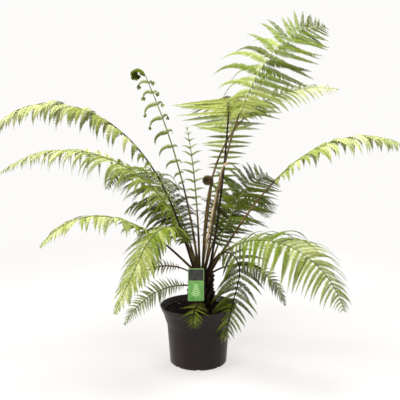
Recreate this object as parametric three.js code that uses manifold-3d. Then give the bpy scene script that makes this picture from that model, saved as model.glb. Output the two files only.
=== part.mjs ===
// A potted tree fern: a black grower's pot, its root ball, a short fibrous trunk with a bare plant
// label in front of it, and fronds that leave the crown on brown stalks. Millimetres, +Z up, with
// the origin at the centre of the pot's flat underside. Headings turn from +X, the right, to +Y,
// the back.
import * as THREE from "three";
import { mergeVertices } from "three/addons/utils/BufferGeometryUtils.js";
import Module from "manifold-3d";

const wasm = await Module();
wasm.setup();

const DEG = Math.PI / 180;
const GAP = 0.3; // between pieces that touch on the real plant
const STEP = 4; // along a stem while its curve is worked out

// The pot, a 10 litre grower's pot
const POT_HEIGHT = 215;
const RIM_RADIUS = 140;
const LIP_HEIGHT = 22;
const LIP_FOOT_RADIUS = 132.5;
const SHOULDER_DROP = 72; // from the rim down to where the straight wall begins
const SHOULDER_RADIUS = 114;
const FOOT_RADIUS = 104;
const FOOT_ROUND = 4;
const POT_WALL = 2.6;
const POT_FLOOR = 3;
const LIP_STEP = 3.5; // how far the lip stands out of the wall below it
const LIP_SLOPE = 2; // height of that step
const RIM_EDGE = 3; // height of the rim's bevel
const RIM_BEVEL = 0.8;
const POT_SIDES = 40;
const DRAIN_SLOTS = 8;
const DRAIN_WIDTH = 14;
const DRAIN_HEIGHT = 9;
const DRAIN_LENGTH = 26;
const DRAIN_PAST = 4; // each slot runs this far past the foot's edge

// The root ball and its surface
const SOIL_DROP = 21; // from the rim to the soil at the wall
const SOIL_RISE = 5; // from the wall to the level middle
const SOIL_LEVEL_RADIUS = 74;
const SOIL_EDGE_STEP = 1.4; // it widens this much above the step inside the pot
const SOIL_GAP = 0.4; // to the pot's wall
const SOIL_TOP = POT_HEIGHT - SOIL_DROP + SOIL_RISE;

// The trunk
const TRUNK_HEIGHT = 152;
const TRUNK_BASE_RADIUS = 55;
const TRUNK_NECK_RADIUS = 40;
const TRUNK_CROWN_RADIUS = 27;
const CROWN_ROUND = 14; // height of the crown's rounding
const CROWN_SHOULDER_OUT = 2; // how full that rounding is
const CROWN_SHOULDER_UP = 9;
const CROWN_DISH = 1; // the crown's edge is this much lower than its middle
const TRUNK_RINGS = 6;
const FLARE_POWER = 2.2;
const TRUNK_BASE_X = 8;
const TRUNK_TOP_X = 14; // it leans a little to the right
const TRUNK_SIDES = 18;
const TRUNK_FLOOR = SOIL_TOP + GAP;
const CROWN_TOP = TRUNK_FLOOR + TRUNK_HEIGHT;

// The label and its stake
const CARD_WIDTH = 57;
const CARD_HEIGHT = 118;
const CARD_THICKNESS = 0.9;
const CARD_BOTTOM = 245;
const LABEL_X = -8;
const LABEL_Y = -66;
const STAKE_WIDTH = 6;
const STAKE_THICKNESS = 3;
const STAKE_TOP = 340;

// Stalks and ribs
const STALK_RADIUS = 5.2;
const STALK_END_RADIUS = 2.9;
const STALK_SIDES = 6;
const STALK_STEP = 42;
const CURL_STEPS = 14;
const CURL_POWER = 1.35; // how fast a coil tightens towards its tip
const RIB_END_RADIUS = 0.9;
const RIB_DEPTH = 1.25; // a rib's height over its width
const CURL_RADIUS = 3.2; // a coiled tip is as thick as its packed leaflets
const CURL_TAPER = 0.5; // what is left of that at its end
const TIP_LENGTH = 6;

// Leaflets, each a three-sided blade with its keel below
const LEAFLET_SPACING = 38;
const CLOSEST_SPACING = 0.5; // at the tip of a frond, as a share of the spacing
const LEAFLET_MIDDLE = 0.55; // where along a leaflet it turns down
const MIDDLE_WIDTH = 0.66; // of the spacing
const LEAFLET_THICKNESS = 0.013; // of its length
const THINNEST_LEAFLET = 1.4;
const WIDEST_MIDDLE = 0.36; // of a leaflet's length
const INNER_HANG = 0.55; // of the droop, from the root to the middle
const OUTER_HANG = 1.5; // of the droop, from the middle to the tip
const OUTER_CRESCENT = 0.6; // of a crescent, from the middle to the tip
const LEAN = [12, 48]; // degrees towards the tip of the frond, at the base and tip of the blade
const WIDEST_AT = 0.36; // along the blade
const SHORTEST_AT_BASE = 0.34; // of the longest leaflet
const SHORTEST_AT_TIP = 0.08;
const TAPER_POWER = 0.9;
const CLEARANCE = 0.4; // between leaflets of different fronds
const SHORTER = [1, 0.8, 0.62, 0.46]; // lengths tried for a leaflet that meets something

const COLOURS = {
  pot: 0x1d1d1c,
  soil: 0x2a1d14,
  trunk: 0x35251a,
  card: 0x3f9a4b,
  stake: 0x1c1c1a,
  stalk: 0x6d4a26,
  green: 0x5f8a33,
  dry: 0x8a6a3a,
  straw: 0xc9b27a,
};

// Every frond grows from the crown. rise and tip are its slopes at the two ends, and bend says how
// late it turns from one to the other, or knee between which shares of the length it does. sweep is
// how far its heading turns. length runs from the crown to the tip, of which stalk is bare. split
// is the share of the length where a frond that bends wide is two nodes. foot and ring place the
// stalk's foot round the crown, and level its height, where they differ from the usual.
// leaflet is the longest leaflet, which stands at widestAt, and spacing how far leaflets stand
// apart where it differs from the usual. shortest is the share of the longest at the blade's base,
// from which leaflets lengthen late where swell is large. droop is how far leaflets hang, from
// which droopAtTip and rightDroop differ at the tip and on the right, stiff how straight they stay,
// crescent how far their tips turn down, lean how far they point forward, rightLean the part of
// that on the right side, and roll how far the blade turns about its rib.
const FRONDS = [
  { name: "left_arch", heading: 192, rise: 73, tip: -62, bend: 2.2, length: 1100, stalk: 300,
    leaflet: 140, droop: 50, shortest: 0.3, swell: 2.4, widestAt: 0.46, split: 0.64 },
  { name: "left_middle", heading: 166, rise: 80, tip: -36, bend: 1.05, length: 1030, stalk: 150,
    leaflet: 160, droop: 46, split: 0.6 },
  { name: "left_spread", heading: 212, rise: 44, tip: -56, bend: 2.3, length: 670, stalk: 200,
    leaflet: 110, droop: 30, split: 0.66 },
  { name: "left_droop", heading: 231, rise: 66, tip: -54, knee: [0.12, 0.7], length: 620,
    stalk: 130, leaflet: 118, droop: 28, lean: [24, 50], split: 0.5 },
  { name: "left_inner", heading: 148, rise: 69, tip: -54, bend: 2, length: 470, stalk: 110,
    leaflet: 110, droop: 34, roll: -24 },
  { name: "left_low", heading: 211, rise: 22, tip: -60, bend: 1.1, length: 340, stalk: 70,
    leaflet: 54, droop: 12, lean: [10, 44], roll: -66, ring: 12, level: 278, radius: 3.6 },
  { name: "left_dry", heading: 183, rise: 54, tip: -56, bend: 0.85, length: 310, stalk: 90,
    leaflet: 42, droop: 24, roll: -60, ring: 12, level: 305, radius: 3.4, dry: true },
  { name: "young", heading: 168, rise: 84, tip: 62, bend: 1, length: 860, stalk: 330,
    leaflet: 74, spacing: 58, droop: 38, crescent: 30, roll: -62, rightLength: 0.5,
    curl: 320, curled: 120, ring: 14 },
  { name: "slim_upright", heading: 126, rise: 88, tip: 72, bend: 1.4, length: 540, stalk: 220,
    leaflet: 60, spacing: 44, droop: 20, ring: 16 },
  { name: "back_tall", heading: 60, sweep: 38, rise: 68, tip: -66, bend: 4.2, length: 985,
    stalk: 250, leaflet: 260, droop: 20, stiff: 0.9, widestAt: 0.66, shortest: 0.25,
    swell: 6, split: 0.7, foot: 20, ring: 28 },
  { name: "back_left", heading: 128, rise: 66, tip: -50, bend: 1.5, length: 860, stalk: 120,
    leaflet: 175, droop: 32, split: 0.6 },
  { name: "back_right", heading: 62, rise: 58, tip: -58, bend: 1.4, length: 760, stalk: 110,
    leaflet: 165, droop: 32, split: 0.6, foot: 68, ring: 28 },
  { name: "right_high", heading: 40, rise: 78, tip: 0, bend: 2.3, length: 1250, stalk: 600,
    leaflet: 200, droop: 60, droopAtTip: -6, rightDroop: 0.15, stiff: 0.6, roll: 52,
    shortest: 0.3, split: 0.74, ring: 14 },
  { name: "right_lime", heading: 80, sweep: -90, rise: 84, tip: -12, bend: 1.6, length: 1030,
    stalk: 620, leaflet: 96, droop: 24, roll: 40, ring: 20 },
  { name: "right_arch", heading: 355, rise: 59, tip: -46, bend: 2.5, length: 960, stalk: 410,
    leaflet: 128, droop: 42, split: 0.68, ring: 30 },
  { name: "right_inner", heading: 52, rise: 54, tip: -45, bend: 3.2, length: 620, stalk: 110,
    leaflet: 160, droop: 14, rightDroop: 0.5, roll: 34, foot: 42, ring: 30 },
  { name: "right_spread", heading: 327, rise: 66, tip: -72, bend: 0.9, length: 655, stalk: 140,
    leaflet: 165, droop: 30, lean: [30, 52], rightLean: 0.3, roll: 30, split: 0.55, foot: 322,
    ring: 30 },
  { name: "right_small", heading: 342, rise: 44, tip: -78, bend: 1, length: 360, stalk: 120,
    leaflet: 54, droop: 20, roll: 40, ring: 24, level: 322, radius: 3.4 },
  { name: "right_hang", heading: 318, rise: 54, tip: -106, knee: [0.1, 0.54], length: 510,
    stalk: 90, leaflet: 118, droop: 22, roll: 40, split: 0.5, foot: 300 },
  { name: "front_small", heading: 259, rise: 26, tip: -84, bend: 1.7, length: 195, stalk: 64,
    leaflet: 60, droop: 12, lean: [16, 44], shortest: 0.5, ring: 10, level: 216, radius: 3.2 },
];

// Stems with no leaflets: a fiddlehead whose tip is coiled, and a young pale stalk
const BARE_STEMS = [
  { name: "fiddlehead", heading: 350, rise: 86, tip: 80, bend: 1, length: 430, curl: -480,
    curled: 105, radius: 5, endRadius: 2.6, ring: 16, foot: 270, colour: "stalk" },
  { name: "pale_stalk", heading: 12, rise: 80, tip: 76, bend: 1.5, length: 415, curl: 60,
    curled: 46, radius: 6, endRadius: 3, ring: 3, foot: 225, colour: "straw" },
];

const DEFAULT_RING = 27; // of the stalks' feet, round the crown
const DEFAULT_LEVEL = CROWN_TOP - 14;

// The slope and place of a stem at every step, from its few sizes.
function stemPath(stem) {
  const foot = (stem.foot ?? stem.heading) * DEG;
  const ring = stem.ring ?? DEFAULT_RING;
  const start = new THREE.Vector3(
    TRUNK_TOP_X + ring * Math.cos(foot),
    ring * Math.sin(foot),
    stem.level ?? DEFAULT_LEVEL,
  );
  const curled = stem.curled ?? 0;
  const curlStart = stem.length - curled;
  const bent = (share) =>
    stem.knee ? THREE.MathUtils.smoothstep(share, ...stem.knee) : Math.pow(share, stem.bend);
  const slopeAt = (s) => {
    const open = THREE.MathUtils.lerp(stem.rise, stem.tip, bent(s / stem.length));
    const into = Math.max(0, s - curlStart) / (curled || 1);
    return (open - (stem.curl ?? 0) * Math.pow(into, CURL_POWER)) * DEG;
  };
  const directions = (s) => {
    const turn = (stem.heading + ((stem.sweep ?? 0) * s) / stem.length) * DEG;
    const slope = slopeAt(s);
    const level = Math.cos(slope);
    return {
      along: new THREE.Vector3(Math.cos(turn) * level, Math.sin(turn) * level, Math.sin(slope)),
      left: new THREE.Vector3(-Math.sin(turn), Math.cos(turn), 0),
    };
  };
  const points = [start];
  const count = Math.ceil(stem.length / STEP);
  const step = stem.length / count;
  for (let i = 0; i < count; i++)
    points.push(points[i].clone().addScaledVector(directions((i + 0.5) * step).along, step));

  // The frame of a cross-section at a length s from the foot.
  const at = (s) => {
    const whole = THREE.MathUtils.clamp(s / step, 0, count);
    const k = Math.min(count - 1, Math.floor(whole));
    const centre = points[k].clone().lerp(points[k + 1], whole - k);
    const { along, left } = directions(s);
    return { centre, along, left, up: new THREE.Vector3().crossVectors(along, left) };
  };
  return { at, length: stem.length };
}

// Evenly spaced lengths from one to another, both included.
function spaced(from, to, step) {
  const count = Math.max(1, Math.round((to - from) / step));
  return Array.from({ length: count + 1 }, (_, i) => from + ((to - from) * i) / count);
}

// A closed round stem through the given lengths of a path, with a flat at each end.
function stemGeometry(path, lengths, radiusAt, sides) {
  const count = lengths.length - 1;
  const vertices = [];
  const faces = [];
  for (const s of lengths) {
    const { centre, left, up } = path.at(s);
    for (let j = 0; j < sides; j++) {
      const a = (2 * Math.PI * j) / sides;
      const r = radiusAt(s);
      vertices.push(
        centre.clone().addScaledVector(up, r * Math.cos(a)).addScaledVector(left, r * Math.sin(a)),
      );
    }
  }
  for (let i = 0; i < count; i++)
    for (let j = 0; j < sides; j++) {
      const a = i * sides + j;
      const b = i * sides + ((j + 1) % sides);
      faces.push([a, a + sides, b + sides], [a, b + sides, b]);
    }
  for (let j = 1; j < sides - 1; j++) {
    const end = count * sides;
    faces.push([0, j, j + 1], [end, end + j + 1, end + j]);
  }
  return closedGeometry(vertices, faces);
}

function closedGeometry(vertices, faces) {
  const geometry = new THREE.BufferGeometry();
  const numbers = new Float32Array(vertices.flatMap((v) => [v.x, v.y, v.z]));
  geometry.setAttribute("position", new THREE.BufferAttribute(numbers, 3));
  geometry.setIndex(faces.flat());
  return geometry;
}

function solidOf(geometry) {
  const bare = geometry.clone();
  bare.deleteAttribute("normal");
  bare.deleteAttribute("uv");
  const merged = mergeVertices(bare, 1e-4);
  return new wasm.Manifold(
    new wasm.Mesh({
      numProp: 3,
      vertProperties: merged.attributes.position.array,
      triVerts: new Uint32Array(merged.index.array),
    }),
  );
}

function geometryOf(solid) {
  const mesh = solid.getMesh();
  const geometry = new THREE.BufferGeometry();
  geometry.setAttribute("position", new THREE.BufferAttribute(mesh.vertProperties, mesh.numProp));
  geometry.setIndex(new THREE.BufferAttribute(mesh.triVerts, 1));
  return geometry;
}

const root = new THREE.Group();
root.name = "potted_tree_fern";

function addPiece(name, geometry, colour, roughness) {
  const material = new THREE.MeshStandardMaterial({ color: colour, roughness, metalness: 0 });
  const mesh = new THREE.Mesh(geometry, material);
  mesh.name = name;
  root.add(mesh);
  return mesh;
}

// A lathe about +Z from [radius, height] pairs that start and end on the axis.
function turned(profile, sides) {
  const points = profile.map(([radius, height]) => new THREE.Vector2(radius, height));
  const geometry = new THREE.LatheGeometry(points, sides);
  geometry.rotateX(Math.PI / 2);
  return geometry;
}

// The inside of the pot's wall, from the floor to the rim
const INNER_WALL = [
  [FOOT_RADIUS - POT_WALL, POT_FLOOR],
  [SHOULDER_RADIUS - POT_WALL, POT_HEIGHT - SHOULDER_DROP],
  [LIP_FOOT_RADIUS - LIP_STEP - POT_WALL, POT_HEIGHT - LIP_HEIGHT - LIP_SLOPE],
  [LIP_FOOT_RADIUS - POT_WALL, POT_HEIGHT - LIP_HEIGHT + LIP_SLOPE],
  [RIM_RADIUS - POT_WALL, POT_HEIGHT],
];

function potSolid() {
  const shell = turned(
    [
      [0, 0],
      [FOOT_RADIUS - FOOT_ROUND, 0],
      [FOOT_RADIUS, FOOT_ROUND],
      [SHOULDER_RADIUS, POT_HEIGHT - SHOULDER_DROP],
      [LIP_FOOT_RADIUS - LIP_STEP, POT_HEIGHT - LIP_HEIGHT - LIP_SLOPE],
      [LIP_FOOT_RADIUS, POT_HEIGHT - LIP_HEIGHT],
      [RIM_RADIUS, POT_HEIGHT - RIM_EDGE],
      [RIM_RADIUS - RIM_BEVEL, POT_HEIGHT],
      ...INNER_WALL.toReversed(),
      [0, POT_FLOOR],
    ],
    POT_SIDES,
  );
  let pot = solidOf(shell);
  for (let i = 0; i < DRAIN_SLOTS; i++) {
    const slot = new THREE.BoxGeometry(DRAIN_LENGTH, DRAIN_WIDTH, 2 * DRAIN_HEIGHT);
    slot.translate(FOOT_RADIUS - DRAIN_LENGTH / 2 + DRAIN_PAST, 0, 0);
    slot.rotateZ(i * ((2 * Math.PI) / DRAIN_SLOTS));
    pot = pot.subtract(solidOf(slot));
  }
  return pot;
}

function rootBallGeometry() {
  const inside = INNER_WALL.slice(0, 3).map(([radius, height]) => [radius - SOIL_GAP, height]);
  inside[0][1] = POT_FLOOR + GAP;
  return turned(
    [
      [0, POT_FLOOR + GAP],
      ...inside,
      [inside[2][0] + SOIL_EDGE_STEP, SOIL_TOP - SOIL_RISE],
      [SOIL_LEVEL_RADIUS, SOIL_TOP],
      [0, SOIL_TOP],
    ],
    POT_SIDES,
  );
}

// The trunk flares at its foot and rounds over at the crown. grow makes it that much larger.
function trunkGeometry(grow) {
  const neck = TRUNK_HEIGHT - CROWN_ROUND;
  const flare = TRUNK_BASE_RADIUS - TRUNK_NECK_RADIUS;
  const profile = [[0, 0]];
  for (let i = 0; i <= TRUNK_RINGS; i++) {
    const t = i / TRUNK_RINGS;
    profile.push([TRUNK_NECK_RADIUS + flare * Math.pow(1 - t, FLARE_POWER) + grow, t * neck]);
  }
  const shoulder = (TRUNK_NECK_RADIUS + TRUNK_CROWN_RADIUS) / 2 + CROWN_SHOULDER_OUT;
  profile.push([shoulder + grow, neck + CROWN_SHOULDER_UP + grow]);
  profile.push([TRUNK_CROWN_RADIUS + grow, TRUNK_HEIGHT - CROWN_DISH + grow]);
  profile.push([0, TRUNK_HEIGHT + grow]);
  const geometry = turned(profile, TRUNK_SIDES);
  const position = geometry.attributes.position;
  for (let i = 0; i < position.count; i++) {
    const share = position.getZ(i) / TRUNK_HEIGHT;
    position.setX(i, position.getX(i) + THREE.MathUtils.lerp(TRUNK_BASE_X, TRUNK_TOP_X, share));
    position.setZ(i, position.getZ(i) + TRUNK_FLOOR);
  }
  return geometry;
}

// How long a leaflet is at a share of the blade, as a part of the longest.
function leafletShare(frond, u) {
  const widest = frond.widestAt ?? WIDEST_AT;
  if (u < widest) {
    const shortest = frond.shortest ?? SHORTEST_AT_BASE;
    const grown = Math.pow(Math.sin((u / widest) * (Math.PI / 2)), frond.swell ?? 1);
    return shortest + (1 - shortest) * grown;
  }
  const left = (1 - u) / (1 - widest);
  const grown = Math.pow(Math.sin(left * (Math.PI / 2)), TAPER_POWER);
  return SHORTEST_AT_TIP + (1 - SHORTEST_AT_TIP) * grown;
}

// The frame of a frond's blade at a length s from the foot, turned about the rib by its roll.
function bladeFrame(frond, path, s) {
  const { centre, along, left, up } = path.at(s);
  const roll = (frond.roll ?? 0) * DEG;
  const mix = (a, b, sign) =>
    a.clone().multiplyScalar(Math.cos(roll)).addScaledVector(b, sign * Math.sin(roll));
  return { centre, along, left: mix(left, up, 1), up: mix(up, left, -1) };
}

// How far a leaflet hangs below its root's direction, in its inner and outer parts.
function hangAngles(frond, side, share) {
  const droop = THREE.MathUtils.lerp(frond.droop, frond.droopAtTip ?? frond.droop, share);
  const ownDroop = side > 0 ? droop : droop * (frond.rightDroop ?? 1);
  const part = (hang) => ownDroop * THREE.MathUtils.lerp(hang, 1, frond.stiff ?? 0) * DEG;
  const turned = (frond.crescent ?? 0) * OUTER_CRESCENT * DEG;
  return [part(INNER_HANG), part(OUTER_HANG) + turned];
}

// The corners of one leaflet between two stations of the rib: its root, middle and tip.
function leafletCorners(frond, path, side, rear, front, share, length, grow) {
  const { centre, along, left, up } = bladeFrame(frond, path, (rear.s + front.s) / 2);
  const sideLean = side < 0 ? (frond.rightLean ?? 1) : 1;
  const lean = THREE.MathUtils.lerp(...(frond.lean ?? LEAN), share) * sideLean * DEG;
  const out = left.multiplyScalar(side * Math.cos(lean)).addScaledVector(along, Math.sin(lean));
  const hang = (angle) => {
    const way = out.clone().multiplyScalar(Math.cos(angle));
    way.z -= Math.sin(angle);
    return way.normalize();
  };
  const [inner, outer] = hangAngles(frond, side, share).map(hang);
  const middle = centre.clone().addScaledVector(inner, length * LEAFLET_MIDDLE);
  const tip = middle.clone().addScaledVector(outer, length * (1 - LEAFLET_MIDDLE));
  const wide = along.clone().addScaledVector(inner, -along.dot(inner)).normalize();
  const keel = new THREE.Vector3().crossVectors(inner, wide).multiplyScalar(side);
  if (keel.dot(up) > 0) keel.negate();
  const wanted = MIDDLE_WIDTH * (front.s - rear.s);
  const half = Math.min(wanted, WIDEST_MIDDLE * length) / 2 + grow;
  const depth = Math.max(THINNEST_LEAFLET, length * LEAFLET_THICKNESS) + grow;
  const edge = (amount) =>
    middle.clone().addScaledVector(wide, amount).addScaledVector(keel, -grow);
  return {
    tip: tip.addScaledVector(outer, grow),
    rear: edge(-half),
    front: edge(half),
    keel: middle.clone().addScaledVector(keel, depth),
  };
}

// Half the width of a rib at a length s from the foot.
function ribRadius(frond, s) {
  const into = frond.curled ? (s - frond.length) / frond.curled + 1 : 0;
  if (into > 0) return CURL_RADIUS * THREE.MathUtils.lerp(1, CURL_TAPER, into);
  const share = (s - frond.stalk) / (frond.length - frond.stalk);
  return THREE.MathUtils.lerp(STALK_END_RADIUS, RIB_END_RADIUS, Math.min(1, share));
}

// The stations of a blade, each one leaflet further, closer together where the leaflets are short.
function stations(frond) {
  const blade = frond.length - (frond.curled ?? 0) - frond.stalk;
  const spacing = frond.spacing ?? LEAFLET_SPACING;
  const found = [frond.stalk];
  let s = frond.stalk;
  while (s < frond.stalk + blade) {
    const share = leafletShare(frond, (s - frond.stalk) / blade);
    s += spacing * (CLOSEST_SPACING + (1 - CLOSEST_SPACING) * share);
    found.push(s);
  }
  const stretch = blade / (s - frond.stalk);
  return found.map((place) => frond.stalk + (place - frond.stalk) * stretch);
}

function ribCorners(frond, path, s) {
  const { centre, left, up } = bladeFrame(frond, path, s);
  const r = ribRadius(frond, s);
  return {
    s,
    top: centre.clone().addScaledVector(up, r * RIB_DEPTH),
    left: centre.clone().addScaledVector(left, r),
    under: centre.clone().addScaledVector(up, -r * RIB_DEPTH),
    right: centre.clone().addScaledVector(left, -r),
  };
}

// The stations of a coiled tip, which carries no leaflets.
function curlStations(frond) {
  if (!frond.curled) return [];
  return spaced(frond.length - frond.curled, frond.length, frond.curled / CURL_STEPS).slice(1);
}

// Two stations' corners as a closed length of rib, for telling what a leaflet would meet.
function ribLength(a, b) {
  const ring = (c) => [c.top, c.left, c.under, c.right];
  const faces = [[0, 1, 2], [0, 2, 3], [4, 6, 5], [4, 7, 6]];
  for (let j = 0; j < 4; j++) {
    const k = (j + 1) % 4;
    faces.push([j, j + 4, k + 4], [j, k + 4, k]);
  }
  return closedGeometry([...ring(a), ...ring(b)], faces);
}

// Where a leaflet's root opens the rib: its two edge corners and a point on the face below them.
function leafletRoot(side, a, b) {
  const edge = side > 0 ? "left" : "right";
  const below = a[edge].clone().add(b[edge]).add(a.under).add(b.under).multiplyScalar(0.25);
  return { rear: a[edge], front: b[edge], keel: below };
}

function leafletSolid(side, base, corners) {
  const ring = (c) => (side > 0 ? [c.rear, c.front, c.keel] : [c.front, c.rear, c.keel]);
  const faces = [[1, 0, 2], [3, 4, 6], [4, 5, 6], [5, 3, 6]];
  for (let j = 0; j < 3; j++) {
    const k = (j + 1) % 3;
    faces.push([j, k, k + 3], [j, k + 3, j + 3]);
  }
  return solidOf(closedGeometry([...ring(base), ...ring(corners), corners.tip], faces));
}

// What is already in place, each piece with its box so that far ones are passed over.
const placed = [];

function place(owner, solid) {
  const { min, max } = solid.boundingBox();
  const box = new THREE.Box3(new THREE.Vector3(...min), new THREE.Vector3(...max));
  placed.push({ owner, box, solid });
}

// Whether a solid meets nothing of the other fronds, or nothing of its own where own is true.
function isClear(owner, solid, own) {
  const { min, max } = solid.boundingBox();
  const box = new THREE.Box3(new THREE.Vector3(...min), new THREE.Vector3(...max));
  return placed.every((piece) => {
    if ((piece.owner === owner) !== own) return true;
    if (!piece.box.intersectsBox(box)) return true;
    const common = piece.solid.intersect(solid);
    const clear = common.isEmpty();
    common.delete();
    return clear;
  });
}

// Chooses each leaflet's length: full, shorter, or none where it would meet something.
function chooseLeaflets(frond, path, corners) {
  const chosen = [];
  const last = corners.length - 2 - curlStations(frond).length;
  for (let i = 0; i < last; i++) {
    const [a, b] = [corners[i], corners[i + 1]];
    const share = (a.s - frond.stalk) / (frond.length - frond.stalk);
    for (const side of [1, -1]) {
      const whole = frond.leaflet * leafletShare(frond, share);
      const full = side > 0 ? whole : whole * (frond.rightLength ?? 1);
      const base = leafletRoot(side, a, b);
      const found = SHORTER.map((k) => full * k).find((length) => {
        const grown = leafletCorners(frond, path, side, a, b, share, length, CLEARANCE);
        const inner = leafletSolid(side, base, grown);
        const middle = { rear: grown.rear, front: grown.front, keel: grown.keel };
        const inward = (c) => c.clone().lerp(grown.tip, 0.5);
        const outer = leafletSolid(side, middle, {
          rear: inward(grown.rear),
          front: inward(grown.front),
          keel: inward(grown.keel),
          tip: grown.tip,
        });
        const clear = isClear(frond.name, inner, false) && isClear(frond.name, outer, true);
        inner.delete();
        outer.delete();
        return clear;
      });
      if (!found) continue;
      const leaf = leafletCorners(frond, path, side, a, b, share, found, 0);
      place(frond.name, leafletSolid(side, base, leaf));
      chosen.push({ station: i, side, leaf });
    }
  }
  return chosen;
}

// One blade, or one part of it: a four-sided rib whose side faces open into its leaflets.
function bladeGeometry(corners, leaflets, first, last, pointed) {
  const vertices = [];
  const faces = [];
  const add = (v) => vertices.push(v) - 1;
  const rings = corners
    .slice(first, last + 1)
    .map((c) => ["top", "left", "under", "right"].map((key) => add(c[key])));
  const leafAt = (station, side) =>
    leaflets.find((l) => l.station === station && l.side === side);
  for (let i = 0; i < rings.length - 1; i++) {
    const [a, b] = [rings[i], rings[i + 1]];
    for (let j = 0; j < 4; j++) {
      const k = (j + 1) % 4;
      const side = j === 1 ? 1 : -1; // the two lower faces carry the leaflets
      const leaflet = j === 1 || j === 2 ? leafAt(first + i, side) : undefined;
      if (!leaflet) {
        faces.push([a[j], b[j], b[k]], [a[j], b[k], a[k]]);
        continue;
      }
      const base = leafletRoot(side, corners[first + i], corners[first + i + 1]);
      const under = add(base.keel);
      const around = [a[j], b[j], b[k], a[k]];
      const opened = side > 0 ? 0 : 2; // the edge of the face that runs along the leaflet's root
      for (let e = 0; e < 4; e++)
        if (e !== opened) faces.push([around[e], around[(e + 1) % 4], under]);
      const { leaf } = leaflet;
      const inner = [around[opened], around[(opened + 1) % 4], under];
      const order = side > 0 ? [leaf.rear, leaf.front] : [leaf.front, leaf.rear];
      const outer = [...order, leaf.keel].map(add);
      const tip = add(leaf.tip);
      for (let e = 0; e < 3; e++) {
        const n = (e + 1) % 3;
        faces.push([inner[e], inner[n], outer[n]], [inner[e], outer[n], outer[e]]);
        faces.push([outer[e], outer[n], tip]);
      }
    }
  }
  const start = rings[0];
  const end = rings.at(-1);
  faces.push([start[0], start[1], start[2]], [start[0], start[2], start[3]]);
  if (pointed) {
    const point = add(pointed);
    for (let j = 0; j < 4; j++) faces.push([end[j], point, end[(j + 1) % 4]]);
  } else {
    faces.push([end[0], end[2], end[1]], [end[0], end[3], end[2]]);
  }
  return closedGeometry(vertices, faces);
}

function stalkSolid(path, seat, lengths, radius, endRadius) {
  const radiusAt = (s) => THREE.MathUtils.lerp(radius, endRadius, s / lengths.at(-1));
  return solidOf(stemGeometry(path, lengths, radiusAt, STALK_SIDES)).subtract(seat);
}

function buildPlant() {
  const pot = potSolid();
  addPiece("pot", geometryOf(pot), COLOURS.pot, 0.55);
  addPiece("root_ball", rootBallGeometry(), COLOURS.soil, 0.95);
  addPiece("trunk", trunkGeometry(0), COLOURS.trunk, 0.95);
  const seat = solidOf(trunkGeometry(GAP)); // stalks are cut to it
  place("pot", pot);
  place("root_ball", solidOf(rootBallGeometry()));
  place("trunk", seat);

  const card = new THREE.BoxGeometry(CARD_WIDTH, CARD_THICKNESS, CARD_HEIGHT);
  card.translate(LABEL_X, LABEL_Y, CARD_BOTTOM + CARD_HEIGHT / 2);
  const stakeFloor = SOIL_TOP + GAP;
  const stake = new THREE.BoxGeometry(STAKE_WIDTH, STAKE_THICKNESS, STAKE_TOP - stakeFloor);
  const behind = LABEL_Y + (CARD_THICKNESS + STAKE_THICKNESS) / 2 + GAP;
  stake.translate(LABEL_X, behind, (STAKE_TOP + stakeFloor) / 2);
  addPiece("label_card", card, COLOURS.card, 0.5);
  addPiece("label_stake", stake, COLOURS.stake, 0.6);
  place("label", solidOf(card));
  place("label", solidOf(stake));

  for (const stem of BARE_STEMS) {
    const path = stemPath(stem);
    const straight = stem.length - stem.curled;
    const curl = spaced(straight, stem.length, stem.curled / CURL_STEPS);
    const lengths = [...spaced(0, straight, STALK_STEP), ...curl.slice(1)];
    const round = stalkSolid(path, seat, lengths, stem.radius, stem.endRadius);
    addPiece(stem.name, geometryOf(round), COLOURS[stem.colour], 0.85);
    place(stem.name, round);
  }

  const grown = FRONDS.map((frond) => {
    const path = stemPath(frond);
    const end = frond.stalk - GAP;
    const stalk = stalkSolid(
      path, seat, spaced(0, end, STALK_STEP), frond.radius ?? STALK_RADIUS, STALK_END_RADIUS,
    );
    const colour = frond.dry ? COLOURS.dry : COLOURS.stalk;
    addPiece("stalk_" + frond.name, geometryOf(stalk), colour, 0.85);
    place(frond.name, stalk);
    const lengths = [...stations(frond), ...curlStations(frond)];
    const corners = lengths.map((s) => ribCorners(frond, path, s));
    for (let i = 0; i < corners.length - 1; i++)
      place(frond.name, solidOf(ribLength(corners[i], corners[i + 1])));
    return { frond, path, corners };
  });

  for (const { frond, path, corners } of grown) {
    const leaflets = chooseLeaflets(frond, path, corners);
    const colour = frond.dry ? COLOURS.dry : COLOURS.green;
    const last = corners.length - 1;
    const { centre, along } = path.at(frond.length);
    const tip = centre.addScaledVector(along, TIP_LENGTH);
    if (!frond.split) {
      const blade = bladeGeometry(corners, leaflets, 0, last, tip);
      addPiece("frond_" + frond.name, blade, colour, 0.6);
      continue;
    }
    const at = frond.split * frond.length;
    const cut = corners.findIndex((c) => c.s > at);
    const inner = corners.with(cut, ribCorners(frond, path, corners[cut].s - GAP));
    const parts = [
      ["frond_" + frond.name, bladeGeometry(inner, leaflets, 0, cut, null)],
      ["frond_" + frond.name + "_tip", bladeGeometry(corners, leaflets, cut, last, tip)],
    ];
    for (const [name, geometry] of parts) addPiece(name, geometry, colour, 0.6);
  }
}

buildPlant();

export default root;
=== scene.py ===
"""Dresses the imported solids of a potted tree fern.

The solids come in as a fixed frame, in metres. This script replaces the plain blades by fronds of
fine leaflets, grown by the same rule as the solids, and gives the pot, the compost, the trunk, the
label and the stalks their real surfaces. Sizes below are in millimetres unless they say otherwise.
"""

import logging
import math
import random
from collections.abc import Iterator, Sequence
from contextlib import contextmanager
from dataclasses import dataclass, field, replace
from enum import Enum
from typing import ClassVar

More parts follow.
